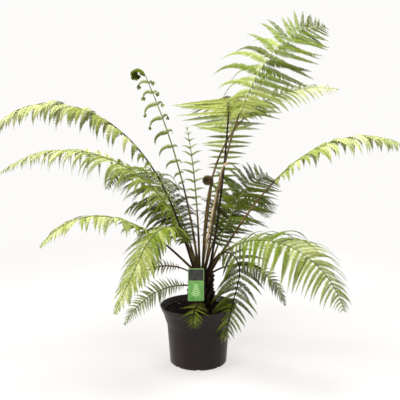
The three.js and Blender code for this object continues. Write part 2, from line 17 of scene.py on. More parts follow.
import bpy
import numpy as np
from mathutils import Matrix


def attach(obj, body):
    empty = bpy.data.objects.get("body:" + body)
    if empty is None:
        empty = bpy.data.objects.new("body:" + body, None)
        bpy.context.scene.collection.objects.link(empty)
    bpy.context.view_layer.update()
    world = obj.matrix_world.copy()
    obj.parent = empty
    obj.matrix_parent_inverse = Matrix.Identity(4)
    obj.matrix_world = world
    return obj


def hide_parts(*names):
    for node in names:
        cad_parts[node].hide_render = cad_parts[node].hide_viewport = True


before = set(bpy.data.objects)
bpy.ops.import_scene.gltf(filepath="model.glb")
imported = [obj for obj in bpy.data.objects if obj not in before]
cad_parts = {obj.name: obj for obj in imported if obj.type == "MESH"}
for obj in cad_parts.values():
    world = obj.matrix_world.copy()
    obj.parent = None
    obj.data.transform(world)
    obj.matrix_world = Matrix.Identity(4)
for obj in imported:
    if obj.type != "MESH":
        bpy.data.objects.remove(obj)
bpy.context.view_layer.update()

LOG = logging.getLogger("potted_tree_fern")
MM = 0.001
ORIGIN = (0.0, 0.0, 0.0)
BODY = "root"
SHADER = "Principled BSDF"
DRIFT = 0.16  # half of the noise's span in which one colour turns into the other
LEAF_SHADE = 0.74  # a leaf's darker patches, as a part of its tint

# Where the solids' trunk stands, and where the stems leave its crown
TRUNK_FLOOR = 199.3
TRUNK_HEIGHT = 152.0
CROWN_TOP = TRUNK_FLOOR + TRUNK_HEIGHT
TRUNK_BASE_X = 8.0
TRUNK_TOP_X = 14.0
STALK_RING = 27.0
STALK_LEVEL = CROWN_TOP - 14.0

Triple = tuple[float, float, float]
Pairs = Sequence[tuple[float, float]]
Array = np.ndarray
Piece = bpy.types.Object


# ---- Finishes


class Sheet:
    """Places and joins the nodes of one shader tree."""

    def __init__(self, tree: bpy.types.NodeTree) -> None:
        """Takes over the tree."""
        self.tree = tree

    def tune(self, node: bpy.types.Node, **settings: object) -> None:
        """Sets a node's properties and inputs.

        Args:
            node: the node.
            settings: values by the property's name, or by in_ and the input's name or number,
                where three numbers are a colour.
        """
        for key, value in settings.items():
            if not key.startswith("in_"):
                setattr(node, key, value)
                continue
            label = key[3:].replace("_", " ")
            socket = node.inputs[int(label) if label.isdigit() else label]
            socket.default_value = (*value, 1.0) if isinstance(value, tuple) else value

    def add(self, kind: str, name: str, **settings: object) -> None:
        """Adds one node.

        Args:
            kind: its type's name, without ShaderNode in front.
            name: what the wires call it.
            settings: as for tune.
        """
        node = self.tree.nodes.new("ShaderNode" + kind)
        node.name = name
        self.tune(node, **settings)

    def wire(self, *wires: str) -> None:
        """Joins sockets.

        Args:
            wires: each "node.output > node.input", with the sockets by name or number.
        """
        for wire in wires:
            ends = []
            for end, side in zip(wire.split(" > "), ("outputs", "inputs")):
                node, socket = end.split(".")
                sockets = getattr(self.tree.nodes[node], side)
                ends.append(sockets[int(socket) if socket.isdigit() else socket])
            self.tree.links.new(*ends)


def new_group(name: str, inputs: dict[str, float | Triple], *outputs: str) -> Sheet:
    """Starts a shader node group with named sockets.

    Args:
        name: the group's name.
        inputs: each input's name and first value, a number or a colour.
        outputs: the outputs' names, of which Colour is a colour and any other a number.

    Returns:
        The group's sheet, with the nodes in and out.
    """
    tree = bpy.data.node_groups.new(name, "ShaderNodeTree")
    for label, value in inputs.items():
        kind = "NodeSocketColor" if isinstance(value, tuple) else "NodeSocketFloat"
        socket = tree.interface.new_socket(label, in_out="INPUT", socket_type=kind)
        socket.default_value = (*value, 1.0) if isinstance(value, tuple) else value
    for label in outputs:
        kind = "NodeSocketColor" if label == "Colour" else "NodeSocketFloat"
        tree.interface.new_socket(label, in_out="OUTPUT", socket_type=kind)
    tree.nodes.new("NodeGroupInput").name = "in"
    tree.nodes.new("NodeGroupOutput").name = "out"
    return Sheet(tree)


def mottle_group() -> bpy.types.NodeTree:
    """Builds the group that drifts between two colours in soft patches.

    Returns:
        The group, with outputs Colour and Mask.
    """
    inputs = {"Light": (1.0, 1.0, 1.0), "Dark": ORIGIN, "Scale": 20.0, "Middle": 0.5}
    sheet = new_group("mottle", inputs, "Colour", "Mask")
    sheet.add("TexCoord", "place")
    sheet.add("TexNoise", "noise", in_Detail=4.0, in_Roughness=0.6)
    sheet.add("MapRange", "ease", interpolation_type="SMOOTHSTEP")
    sheet.add("Math", "low", operation="SUBTRACT", in_1=DRIFT)
    sheet.add("Math", "high", operation="ADD", in_1=DRIFT)
    sheet.add("Mix", "mix", data_type="RGBA")
    sheet.wire(
        "place.Object > noise.Vector", "in.Scale > noise.Scale", "noise.Fac > ease.Value",
        "in.Middle > low.0", "in.Middle > high.0", "low.0 > ease.From Min",
        "high.0 > ease.From Max", "ease.Result > mix.Factor", "in.Dark > mix.6",
        "in.Light > mix.7", "mix.2 > out.Colour", "ease.Result > out.Mask",
    )
    return sheet.tree


def grain_group() -> bpy.types.NodeTree:
    """Builds the group that gives a fine grain, which Stretch draws out along Z.

    Returns:
        The group, with output Height.
    """
    sheet = new_group("grain", {"Scale": 400.0, "Stretch": 1.0}, "Height")
    sheet.add("TexCoord", "place")
    sheet.add("CombineXYZ", "shape", in_X=1.0, in_Y=1.0)
    sheet.add("VectorMath", "drawn", operation="MULTIPLY")
    sheet.add("TexNoise", "noise", in_Detail=6.0, in_Roughness=0.65)
    sheet.wire(
        "in.Stretch > shape.Z", "place.Object > drawn.0", "shape.0 > drawn.1",
        "drawn.0 > noise.Vector", "in.Scale > noise.Scale", "noise.Fac > out.Height",
    )
    return sheet.tree


def dust_group() -> bpy.types.NodeTree:
    """Builds the group that settles dust on upward faces and scuffs the foot.

    Returns:
        The group, with output Mask.
    """
    sheet = new_group("settled_dust", {"Amount": 0.3, "Scale": 60.0, "Foot": 0.02}, "Mask")
    sheet.add("TexCoord", "place")
    sheet.add("NewGeometry", "surface")
    sheet.add("SeparateXYZ", "facing")
    sheet.add("SeparateXYZ", "where")
    eased = "SMOOTHSTEP"
    sheet.add("MapRange", "up", interpolation_type=eased, in_From_Min=0.3, in_From_Max=0.95)
    sheet.add("MapRange", "low", interpolation_type=eased, in_From_Max=0.0)
    sheet.add("TexNoise", "noise", in_Detail=5.0)
    sheet.add("Math", "either", operation="MAXIMUM")
    sheet.add("Math", "broken", operation="MULTIPLY")
    sheet.add("Math", "amount", operation="MULTIPLY", use_clamp=True)
    sheet.wire(
        "surface.Normal > facing.0", "facing.Z > up.Value", "up.Result > either.0",
        "place.Object > where.0", "where.Z > low.Value", "in.Foot > low.From Min",
        "low.Result > either.1", "place.Object > noise.Vector", "in.Scale > noise.Scale",
        "either.0 > broken.0", "noise.Fac > broken.1", "broken.0 > amount.0",
        "in.Amount > amount.1", "amount.0 > out.Mask",
    )
    return sheet.tree


class Effects:
    """The shader groups that several finishes share, each built once."""

    def __init__(self) -> None:
        """Builds the three groups."""
        self.mottle, self.grain, self.dust = mottle_group(), grain_group(), dust_group()


@dataclass(frozen=True)
class Finish:
    """One surface: two colours that drift into each other, a grain and a roughness.

    patches tells how fine the drift is and middle where it turns. grain tells how fine the relief
    is, stretch draws it out along Z and depth is how high it stands.
    """

    name: str
    light: Triple
    dark: Triple
    patches: float
    middle: float = 0.5
    roughness: float = 0.6
    rough_spread: float = 0.1
    grain: float = 500.0
    stretch: float = 1.0
    relief: float = 0.2
    depth: float = 0.4
    dust: float = 0.0
    dust_colour: Triple = (0.06, 0.046, 0.037)
    sheen: float = 0.0
    specular: float = 0.5

    def material(self, effects: Effects) -> bpy.types.Material:
        """Builds the material.

        Args:
            effects: the shared shader groups.

        Returns:
            The material, made once for each name.
        """
        made = bpy.data.materials.get(self.name)
        if made:
            return made
        made = bpy.data.materials.new(self.name)
        made.use_nodes = True
        made.diffuse_color = (*self.light, 1.0)
        sheet = Sheet(made.node_tree)
        shader = made.node_tree.nodes[SHADER]
        sheet.tune(shader, in_Specular_IOR_Level=self.specular)
        if self.sheen:
            sheet.tune(shader, in_Sheen_Weight=self.sheen, in_Sheen_Roughness=0.6)
        sheet.add(
            "Group", "mottle", node_tree=effects.mottle, in_Light=self.light, in_Dark=self.dark,
            in_Scale=self.patches, in_Middle=self.middle,
        )
        smooth, rough = self.roughness - self.rough_spread, self.roughness + self.rough_spread
        sheet.add("MapRange", "rough", in_To_Min=smooth, in_To_Max=rough)
        sheet.add(
            "Group", "grain", node_tree=effects.grain, in_Scale=self.grain,
            in_Stretch=self.stretch,
        )
        sheet.add("Bump", "bump", in_Strength=self.relief, in_Distance=self.depth * MM)
        colour = "mottle.Colour"
        if self.dust:
            sheet.add("Group", "dust", node_tree=effects.dust, in_Amount=self.dust)
            sheet.add("Mix", "dusted", data_type="RGBA", in_7=self.dust_colour)
            sheet.wire("dust.Mask > dusted.Factor", f"{colour} > dusted.6")
            colour = "dusted.2"
        sheet.wire(
            f"{colour} > {SHADER}.Base Color", "mottle.Mask > rough.Value",
            f"rough.Result > {SHADER}.Roughness", "grain.Height > bump.Height",
            f"bump.Normal > {SHADER}.Normal",
        )
        return made


class Tone(Enum):
    """Leaf tints, from painted shade inside the crown to the youngest tips, and dead leaf."""

    # Darker tints are painted shade; lighter ones add painted light to young leaves' own colour.
    SHADE = 0
    DEEP = 1
    LEAF = 2
    FRESH = 3
    SPRING = 4
    LIME = 5
    DRY = 6


def leaf_finish(name: str, colour: Triple, roughness: float = 0.6) -> Finish:
    """Makes the finish of one leaf tint.

    Args:
        name: the finish's name.
        colour: the tint.
        roughness: of the leaf's surface.

    Returns:
        A finish that hardly drifts from the tint.
    """
    return Finish(
        name, colour, tuple(LEAF_SHADE * part for part in colour), 110.0, roughness=roughness,
        rough_spread=0.06, grain=900.0, relief=0.15, depth=0.2, specular=0.0,
    )


# Plain tints: the darker ones are painted shade, the lighter ones partly painted light.
LEAF_FINISHES = {
    Tone.SHADE: leaf_finish("leaf_shade", (0.020, 0.026, 0.0035)),
    Tone.DEEP: leaf_finish("leaf_deep", (0.052, 0.070, 0.007)),
    Tone.LEAF: leaf_finish("leaf_green", (0.104, 0.142, 0.014)),
    Tone.FRESH: leaf_finish("leaf_fresh", (0.215, 0.250, 0.062), 0.62),
    Tone.SPRING: leaf_finish("leaf_spring", (0.350, 0.385, 0.160), 0.64),
    Tone.LIME: leaf_finish("leaf_lime", (0.475, 0.510, 0.265), 0.66),
    Tone.DRY: leaf_finish("leaf_dry", (0.150, 0.090, 0.035), 0.8),
}
POT_PLASTIC = Finish(
    "pot_plastic", (0.0150, 0.0100, 0.0088), (0.0104, 0.0068, 0.0060), 9.0, roughness=0.37,
    rough_spread=0.07, grain=1400.0, relief=0.12, depth=0.15, dust=0.35, specular=0.19,
)
COMPOST = Finish(
    "compost", (0.0026, 0.0017, 0.0012), (0.0005, 0.0004, 0.0004), 160.0, roughness=0.94,
    rough_spread=0.04, grain=700.0, relief=0.9, depth=1.2, specular=0.04,
)
BARK_CHIP = Finish(
    "bark_chip", (0.0046, 0.0029, 0.0020), (0.0010, 0.0006, 0.0005), 90.0, roughness=0.88,
    rough_spread=0.06, relief=0.7, depth=0.6, specular=0.06,
)
TRUNK_FIBRE = Finish(
    "trunk_fibre", (0.014, 0.008, 0.005), (0.0018, 0.0012, 0.0012), 70.0, roughness=0.92,
    rough_spread=0.05, grain=600.0, stretch=0.12, relief=1.0, depth=1.5, specular=0.08,
)
OLD_STALK = Finish(
    "old_stalk", (0.048, 0.026, 0.014), (0.008, 0.005, 0.003), 60.0, roughness=0.85,
    rough_spread=0.07, stretch=0.2, relief=0.7, depth=0.8, specular=0.25,
)
STALK_SKIN = Finish(
    "stalk_skin", (0.100, 0.066, 0.020), (0.018, 0.010, 0.004), 26.0, grain=420.0,
    stretch=0.15, relief=0.4, specular=0.1,
)
DARK_STALK = replace(
    STALK_SKIN, name="dark_stalk", light=(0.024, 0.014, 0.009), dark=(0.006, 0.004, 0.003),
    patches=38.0, specular=0.04,
)
GREEN_RIB = Finish(
    "green_rib", (0.13, 0.15, 0.03), (0.07, 0.08, 0.018), 40.0, roughness=0.5,
    rough_spread=0.08, stretch=0.2, relief=0.3, depth=0.3, specular=0.15,
)
PALE_RIB = replace(
    GREEN_RIB, name="pale_rib", light=(0.24, 0.27, 0.07), dark=(0.15, 0.17, 0.04), specular=0.5
)
STRAW_SKIN = replace(
    PALE_RIB, name="straw_skin", light=(0.46, 0.36, 0.21), dark=(0.16, 0.105, 0.045),
    patches=70.0, roughness=0.6, grain=420.0,
)
BRISTLE = Finish(
    "bristle", (0.090, 0.060, 0.026), (0.024, 0.015, 0.008), 80.0, roughness=0.7,
    rough_spread=0.06, grain=600.0, depth=0.2, sheen=0.05, specular=0.05,
)
CARD_BASE = Finish(
    "card_base", (0.32, 0.55, 0.18), (0.26, 0.48, 0.14), 30.0, roughness=0.32,
    rough_spread=0.05, grain=900.0, relief=0.05, depth=0.1,
)
CARD_GREEN = replace(
    CARD_BASE, name="card_green", light=(0.21, 0.52, 0.11), dark=(0.12, 0.42, 0.08),
    patches=55.0, roughness=0.3,
)
CARD_PALE = replace(
    CARD_BASE, name="card_pale", light=(0.58, 0.86, 0.36), dark=(0.46, 0.78, 0.27),
    patches=60.0, roughness=0.3,
)
CARD_DARK = replace(
    CARD_BASE, name="card_dark", light=(0.040, 0.048, 0.034), dark=(0.015, 0.018, 0.016),
    patches=60.0, roughness=0.26,
)
STAKE_PLASTIC = Finish(
    "stake_plastic", (0.030, 0.030, 0.028), (0.018, 0.018, 0.017), 20.0, roughness=0.45,
    rough_spread=0.06, grain=900.0, relief=0.1, depth=0.15,
)
FLOOR_PAPER = Finish(
    "floor_paper", (0.43, 0.421, 0.410), (0.42, 0.411, 0.400), 0.6, roughness=0.9,
    rough_spread=0.02, grain=30.0, relief=0.02, depth=0.3, specular=0.1,
)


# ---- Modelling by hand


def deselect_all() -> None:
    """Leaves nothing selected, so that an operator acts on its own piece."""
    bpy.ops.object.select_all(action="DESELECT")


def choose(piece: Piece) -> None:
    """Selects one piece alone and makes it the active one.

    Args:
        piece: the piece, in object mode.
    """
    deselect_all()
    piece.select_set(True)
    bpy.context.view_layer.objects.active = piece


@contextmanager
def editing(piece: Piece) -> Iterator[None]:
    """Opens a piece in edit mode, with all of it selected, and closes it again.

    Args:
        piece: the piece, in object mode.

    Yields:
        Nothing, while the piece is open.
    """
    choose(piece)
    bpy.ops.object.mode_set(mode="EDIT")
    bpy.ops.mesh.select_all(action="SELECT")
    yield
    bpy.ops.object.mode_set(mode="OBJECT")


def resize(factors: Sequence[float], centre: Sequence[float] = ORIGIN) -> None:
    """Scales what is selected in edit mode about a centre in metres."""
    bpy.ops.transform.resize(value=factors, center_override=centre)


def rotate(angle: float, axis: str) -> None:
    """Turns what is selected in edit mode about an axis through the origin."""
    bpy.ops.transform.rotate(value=angle, orient_axis=axis, center_override=ORIGIN)


def settle(piece: Piece, name: str, smooth: float = 0.0) -> Piece:
    """Names a finished piece and moves its place, turn and scale into its mesh.

    Args:
        piece: the piece, in object mode.
        name: its name.
        smooth: degrees up to which an edge is shaded smooth, or 0 to leave it flat.

    Returns:
        The same piece.
    """
    choose(piece)
    bpy.ops.object.transform_apply(location=True, rotation=True, scale=True)
    piece.name = piece.data.name = name
    if smooth:
        bpy.ops.object.shade_smooth_by_angle(angle=math.radians(smooth))
    return piece


def apply_modifier(piece: Piece, kind: str, **settings: object) -> None:
    """Adds a modifier to a piece and applies it.

    Args:
        piece: the piece, in object mode.
        kind: the modifier's type.
        settings: the modifier's properties.
    """
    modifier = piece.modifiers.new(kind.lower(), kind)
    for name, value in settings.items():
        setattr(modifier, name, value)
    bpy.context.view_layer.objects.active = piece
    bpy.ops.object.modifier_apply(modifier=modifier.name)


def roughen(piece: Piece, layers: Pairs, **settings: object) -> None:
    """Makes a piece's surface uneven.

    Args:
        piece: the piece, in object mode.
        layers: the lumps' size in metres and how far they stand out, for one noise after another.
        settings: properties of the modifier.
    """
    for size, strength in layers:
        noise = bpy.data.textures.new("lumps", "CLOUDS")
        noise.noise_scale = size
        apply_modifier(piece, "DISPLACE", texture=noise, strength=strength * MM, **settings)


def turned_solid(profile: Pairs, sides: int) -> Piece:
    """Raises a round solid ring by ring, as on a wheel.

    Args:
        profile: radius and height of each ring, from the edge of the underside to the last ring.
        sides: faces round it.

    Returns:
        The solid, closed by a flat at each end.
    """
    deselect_all()
    radius, height = profile[0]
    bpy.ops.mesh.primitive_circle_add(
        vertices=sides, radius=radius * MM, fill_type="NGON", location=(0, 0, height * MM)
    )
    piece = bpy.context.object
    with editing(piece):
        for wide, high in profile[1:]:
            rise = (0, 0, (high - height) * MM)
            bpy.ops.mesh.extrude_region_move(TRANSFORM_OT_translate={"value": rise})
            resize((wide / radius, wide / radius, 1), (0, 0, high * MM))
            radius, height = wide, high
        bpy.ops.mesh.select_all(action="SELECT")
        bpy.ops.mesh.normals_make_consistent(inside=False)
    return piece


def soft_box(size: Triple, centre: Triple, rounding: float) -> Piece:
    """Models a block with rounded edges.

    Args:
        size: along X, Y and Z.
        centre: its middle.
        rounding: radius of its edges.

    Returns:
        The block.
    """
    deselect_all()
    middle = [part * MM for part in centre]
    bpy.ops.mesh.primitive_cube_add(size=1, location=middle)
    piece = bpy.context.object
    with editing(piece):
        resize([part * MM for part in size], middle)
        bpy.ops.mesh.bevel(offset=rounding * MM, segments=3, affect="EDGES")
    return piece


def join_pieces(pieces: list[Piece], name: str, smooth: float = 0.0) -> Piece:
    """Joins pieces into one mesh.

    Args:
        pieces: the pieces, each settled.
        name: the joined piece's name.
        smooth: as for settle.

    Returns:
        The joined piece.
    """
    choose(pieces[0])
    for piece in pieces:
        piece.select_set(True)
    bpy.ops.object.join()
    return settle(pieces[0], name, smooth)


def take_apart(piece: Piece) -> tuple[Array, Array]:
    """Reads a modelled piece, to lay copies of it, and removes it.

    Args:
        piece: the piece, in object mode.

    Returns:
        Its corners, and the corner indices of its triangles.
    """
    piece.data.calc_loop_triangles()
    corners = np.array([vertex.co[:] for vertex in piece.data.vertices]) / MM
    corners += np.array(piece.location) / MM
    triangles = np.array([face.vertices[:] for face in piece.data.loop_triangles])
    bpy.data.objects.remove(piece)
    return corners, triangles


# ---- Meshes from arrays


def unit(vectors: Array) -> Array:
    """Scales vectors to unit length."""
    return vectors / np.linalg.norm(vectors, axis=-1, keepdims=True)


def read(values: Array, known: Array, at: Array) -> Array:
    """Reads vectors at places between those where they are known."""
    return np.stack([np.interp(at, known, values[:, axis]) for axis in range(3)], axis=-1)


def rotation(*angles: float) -> Array:
    """Makes the matrix of three turns.

    Args:
        angles: radians about X, then Y, then Z.

    Returns:
        A 3 by 3 matrix.
    """
    made = np.eye(3)
    for axis, angle in enumerate(angles):
        turn, first, second = np.eye(3), (axis + 1) % 3, (axis + 2) % 3
        turn[first, first] = turn[second, second] = math.cos(angle)
        turn[second, first] = math.sin(angle)
        turn[first, second] = -math.sin(angle)
        made = turn @ made
    return made


class SmallLeaf:
    """The shape of one small leaf: a vein with a folded half on each side."""

    FOLD = 0.16
    DIP = 0.10

    def __init__(self, vein: Pairs, edge: Pairs, fans: Sequence[tuple[int, int, int]]) -> None:
        """Works out the corners and faces.

        Args:
            vein: points of the middle vein, as shares of the length and of half the width.
            edge: points of one edge, in the same way.
            fans: for each vein point but the last, itself and the first and last edge point that
                its fan of faces reaches.
        """
        corners = [(x, y, -self.DIP * x * x) for x, y in vein]
        faces = []
        for side in (1, -1):
            base = len(corners)
            corners += [(x, side * y, -self.DIP * x * x - self.FOLD * y) for x, y in edge]
            for point, first, last in fans:
                fan = [(point, base + i + 1, base + i) for i in range(first, last)]
                fan.append((point, point + 1, base + last))
                faces += fan if side > 0 else [(a, c, b) for a, b, c in fan]
        self.corners = np.array(corners)
        self.faces = np.array(faces)


LOBED_LEAF = SmallLeaf(
    [(0.0, 0.0), (0.33, 0.0), (0.64, 0.03), (1.0, 0.10)],
    [(0.0, 0.80), (0.20, 1.0), (0.33, 0.76), (0.50, 0.92), (0.64, 0.64), (0.82, 0.54)],
    [(0, 0, 2), (1, 2, 4), (2, 4, 5)],
)
PLAIN_LEAF = SmallLeaf(
    [(0.0, 0.0), (0.55, 0.0), (1.0, 0.06)],
    [(0.0, 0.80), (0.38, 1.0), (0.72, 0.62)],
    [(0, 0, 1), (1, 1, 2)],
)


class Faces:
    """Collects the triangles of one joined mesh, with a material index for each."""

    SPIKE = np.array([(0, 2, 1), (0, 1, 3), (1, 2, 3), (2, 0, 3)])

    def __init__(self) -> None:
        """Starts with nothing."""
        self.points: list[Array] = []
        self.triangles: list[Array] = []
        self.looks: list[Array] = []
        self.count = 0

    def add(self, points: Array, triangles: Array, look: int) -> None:
        """Adds one shape, or many alike.

        Args:
            points: corners in millimetres, as (corners, 3) or (shapes, corners, 3).
            triangles: corner indices of one shape.
            look: material index.
        """
        shapes = points.reshape(-1, points.shape[-2], 3)
        first = self.count + np.arange(len(shapes)) * shapes.shape[1]
        faces = (triangles[None] + first[:, None, None]).reshape(-1, 3)
        self.points.append(shapes.reshape(-1, 3))
        self.triangles.append(faces)
        self.looks.append(np.full(len(faces), look))
        self.count += shapes.shape[0] * shapes.shape[1]

    def leaves(
        self, shape: SmallLeaf, roots: Array, axes: Sequence[Array], sizes: Sequence[Array],
        look: int,
    ) -> None:
        """Adds small leaves.

        Args:
            shape: of every leaf.
            roots: where they stand.
            axes: unit vectors along them, across them and out of them.
            sizes: how large they are along these axes.
            look: material index.
        """
        corners = roots[:, None]
        for part, axis, size in zip(shape.corners.T, axes, sizes):
            corners = corners + (part * size[:, None])[..., None] * axis[:, None]
        self.add(corners, shape.faces, look)

    def tube(
        self, centres: Array, lefts: Array, ups: Array, radii: Array, sides: int, look: int
    ) -> None:
        """Adds a closed tube along a path.

        Args:
            centres: the path's points.
            lefts: a unit vector to the left at each point.
            ups: a unit vector upwards at each point.
            radii: the tube's radius at each point.
            sides: corners of its section.
            look: material index.
        """
        count, radii = len(radii), radii[:, None] + np.zeros(sides)
        turn = 2 * np.pi * np.arange(sides) / sides
        ring = (
            centres[:, None]
            + (radii * np.cos(turn))[..., None] * ups[:, None]
            + (radii * np.sin(turn))[..., None] * lefts[:, None]
        )
        points = np.vstack([ring.reshape(-1, 3), centres[:1], centres[-1:]])
        faces = []
        for i in range(count - 1):
            for j in range(sides):
                a, b = i * sides + j, i * sides + (j + 1) % sides
                faces += [(a, a + sides, b + sides), (a, b + sides, b)]
        base, last = count * sides, (count - 1) * sides
        for j in range(sides):
            k = (j + 1) % sides
            faces += [(base, j, k), (base + 1, last + k, last + j)]
        self.add(points, np.array(faces), look)

    def spikes(self, roots: Array, ways: Array, length: Array, width: float, look: int) -> None:
        """Adds thin three-sided bristles.

        Args:
            roots: where they stand.
            ways: the unit vectors that they follow.
            length: how long each is.
            width: of their roots.
            look: material index.
        """
        side = unit(np.cross(ways, np.array([0.31, 0.17, 0.94])))
        other = np.cross(ways, side)
        corners = [
            roots + width * (math.cos(turn) * side + math.sin(turn) * other)
            for turn in (0.0, 2 * math.pi / 3, 4 * math.pi / 3)
        ]
        points = np.stack([*corners, roots + ways * length[:, None]], axis=1)
        self.add(points, self.SPIKE, look)

    def piece(self, name: str) -> Piece:
        """Makes the joined mesh.

        Args:
            name: the piece's name.

        Returns:
            The piece, shaded smooth.
        """
        mesh = bpy.data.meshes.new(name)
        faces = np.concatenate(self.triangles)
        mesh.from_pydata((np.concatenate(self.points) * MM).tolist(), [], faces.tolist())
        mesh.polygons.foreach_set("material_index", np.concatenate(self.looks))
        mesh.polygons.foreach_set("use_smooth", np.ones(len(faces), bool))
        mesh.update()
        made = bpy.data.objects.new(name, mesh)
        bpy.context.scene.collection.objects.link(made)
        return made


# ---- Pot, compost, trunk and label

Wear = list[tuple[list[Finish], str, list[str]]]


@dataclass
class Part:
    """A sub-assembly, which models its pieces in build and finishes them in dress.

    wear has, for each piece in turn, its finishes in the order of its faces' indices, its slot and
    the nodes that it stands for.
    """

    wear: ClassVar[Wear] = []
    effects: Effects

    def dress(self, pieces: list[Piece]) -> None:
        """Gives the pieces their looks and their body, and hides the nodes that they stand for.

        Args:
            pieces: what build made.
        """
        for piece, (looks, slot, nodes) in zip(pieces, self.wear):
            for look in looks:
                piece.data.materials.append(look.material(self.effects))
            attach(piece, BODY)
            if nodes:
                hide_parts(*nodes)


@dataclass
class Pot(Part):
    """The grower's pot: a tapered wall with a stepped lip and slots under its foot.

    Its profile has the radius and height of each ring: up the outside over the foot, the shoulder,
    the step and the lip to the rim, then down the inside to the floor.
    """

    profile: Pairs = (
        (100.0, 0.0), (104.0, 4.0), (114.0, 143.0), (125.0, 176.0), (129.0, 191.0),
        (132.5, 193.0), (140.0, 212.0), (139.2, 215.0), (137.4, 215.0), (129.9, 195.0),
        (126.4, 191.0), (111.4, 143.0), (101.4, 3.0),
    )
    sides: int = 128
    edge_round: float = 0.9
    sharp: float = 14.0
    slots: int = 8
    slot_size: Triple = (26.0, 14.0, 18.0)
    slot_at: Triple = (95.0, 0.0, 0.0)
    slot_round: float = 3.0
    wear = [([POT_PLASTIC], "pot", ["pot"])]

    def build(self) -> list[Piece]:
        """Models the pot and cuts its drain slots, which are copies turned round the foot.

        Returns:
            The pot, one closed mesh.
        """
        pot = turned_solid(self.profile, self.sides)
        apply_modifier(
            pot, "BEVEL", width=self.edge_round * MM, segments=3, limit_method="ANGLE",
            angle_limit=math.radians(self.sharp),
        )
        cutters = []
        for i in range(self.slots):
            slot = soft_box(self.slot_size, self.slot_at, self.slot_round)
            with editing(slot):
                rotate(-i * 2 * math.pi / self.slots, "Z")
            cutters.append(settle(slot, f"slot_{i}"))
        cutter = join_pieces(cutters, "slots")
        apply_modifier(pot, "BOOLEAN", operation="DIFFERENCE", object=cutter, solver="EXACT")
        bpy.data.objects.remove(cutter)
        return [settle(pot, "pot_shell", smooth=32)]


@dataclass
class RootBall(Part):
    """The compost in the pot: an uneven surface with bark chips on it.

    wall has radii and heights up the pot's inside, edge and middle those of the top's first and
    last ring. dome is the power that the top swells by, under the chips too.
    """

    wall: Pairs = ((101.0, 3.3), (111.0, 143.0), (125.6, 190.0))
    edge: tuple[float, float] = (127.2, 193.0)
    middle: tuple[float, float] = (6.0, 197.0)
    dome: float = 0.6
    rings: int = 16
    sides: int = 96
    uneven_from: float = 0.19
    uneven_within: float = 121.6
    lumps: Pairs = ((0.035, 5.0), (0.009, 3.0))
    chips: int = 420
    chip_size: Triple = (9.0, 4.6, 2.6)
    chip_round: float = 0.9
    chip_scale: tuple[float, float] = (0.35, 1.25)
    chip_tilt: tuple[float, float] = (0.5, 0.6)
    chip_base: float = 194.4
    chip_rise: float = 3.4
    chips_within: float = 122.0
    straw_above: float = 0.993
    trunk_clearance: float = 50.0
    seed: int = 11
    wear = [([COMPOST], "soil", ["root_ball"]), ([BARK_CHIP, STRAW_SKIN], "soil", [])]

    def build(self) -> list[Piece]:
        """Models the compost as a turned solid whose top is made uneven, and lays the chips.

        Returns:
            The compost, one closed mesh, and the chips.
        """
        profile = list(self.wall)
        for i in range(self.rings):
            share = i / (self.rings - 1)
            wide = self.edge[0] + (self.middle[0] - self.edge[0]) * share
            high = self.edge[1] + (self.middle[1] - self.edge[1]) * share**self.dome
            profile.append((wide, high))
        ball = turned_solid(profile, self.sides)
        upper = [
            vertex.index for vertex in ball.data.vertices
            if vertex.co.z > self.uneven_from
            and math.hypot(vertex.co.x, vertex.co.y) < self.uneven_within * MM
        ]
        ball.vertex_groups.new(name="top").add(upper, 1.0, "REPLACE")
        roughen(ball, self.lumps, vertex_group="top", direction="Z", mid_level=0.7)
        return [settle(ball, "compost", smooth=50), self._chips()]

    def _chips(self) -> Piece:
        """Models one bark chip and lays turned and scaled copies of it on the compost.

        Returns:
            The chips, one joined mesh.
        """
        draw = random.Random(self.seed)
        chip = soft_box(self.chip_size, ORIGIN, self.chip_round)
        with editing(chip):
            bpy.ops.mesh.vertices_smooth(factor=0.4)
        corners, triangles = take_apart(chip)
        faces = Faces()
        laid = 0
        while laid < self.chips:
            reach = self.chips_within * math.sqrt(draw.random())
            turn = draw.uniform(0, 2 * math.pi)
            x, y = reach * math.cos(turn), reach * math.sin(turn)
            if math.hypot(x - TRUNK_BASE_X, y) < self.trunk_clearance:
                continue
            scale = draw.uniform(*self.chip_scale)
            spin = [draw.uniform(-tilt, tilt) for tilt in self.chip_tilt] + [draw.uniform(0, 6.3)]
            turned = corners * scale @ rotation(*spin).T
            height = self.chip_base + self.chip_rise * (1 - reach / 127.0) ** self.dome
            straw = int(draw.random() > self.straw_above)
            faces.add(turned + np.array([x, y, height]), triangles, straw)
            laid += 1
        return faces.piece("bark_chips")


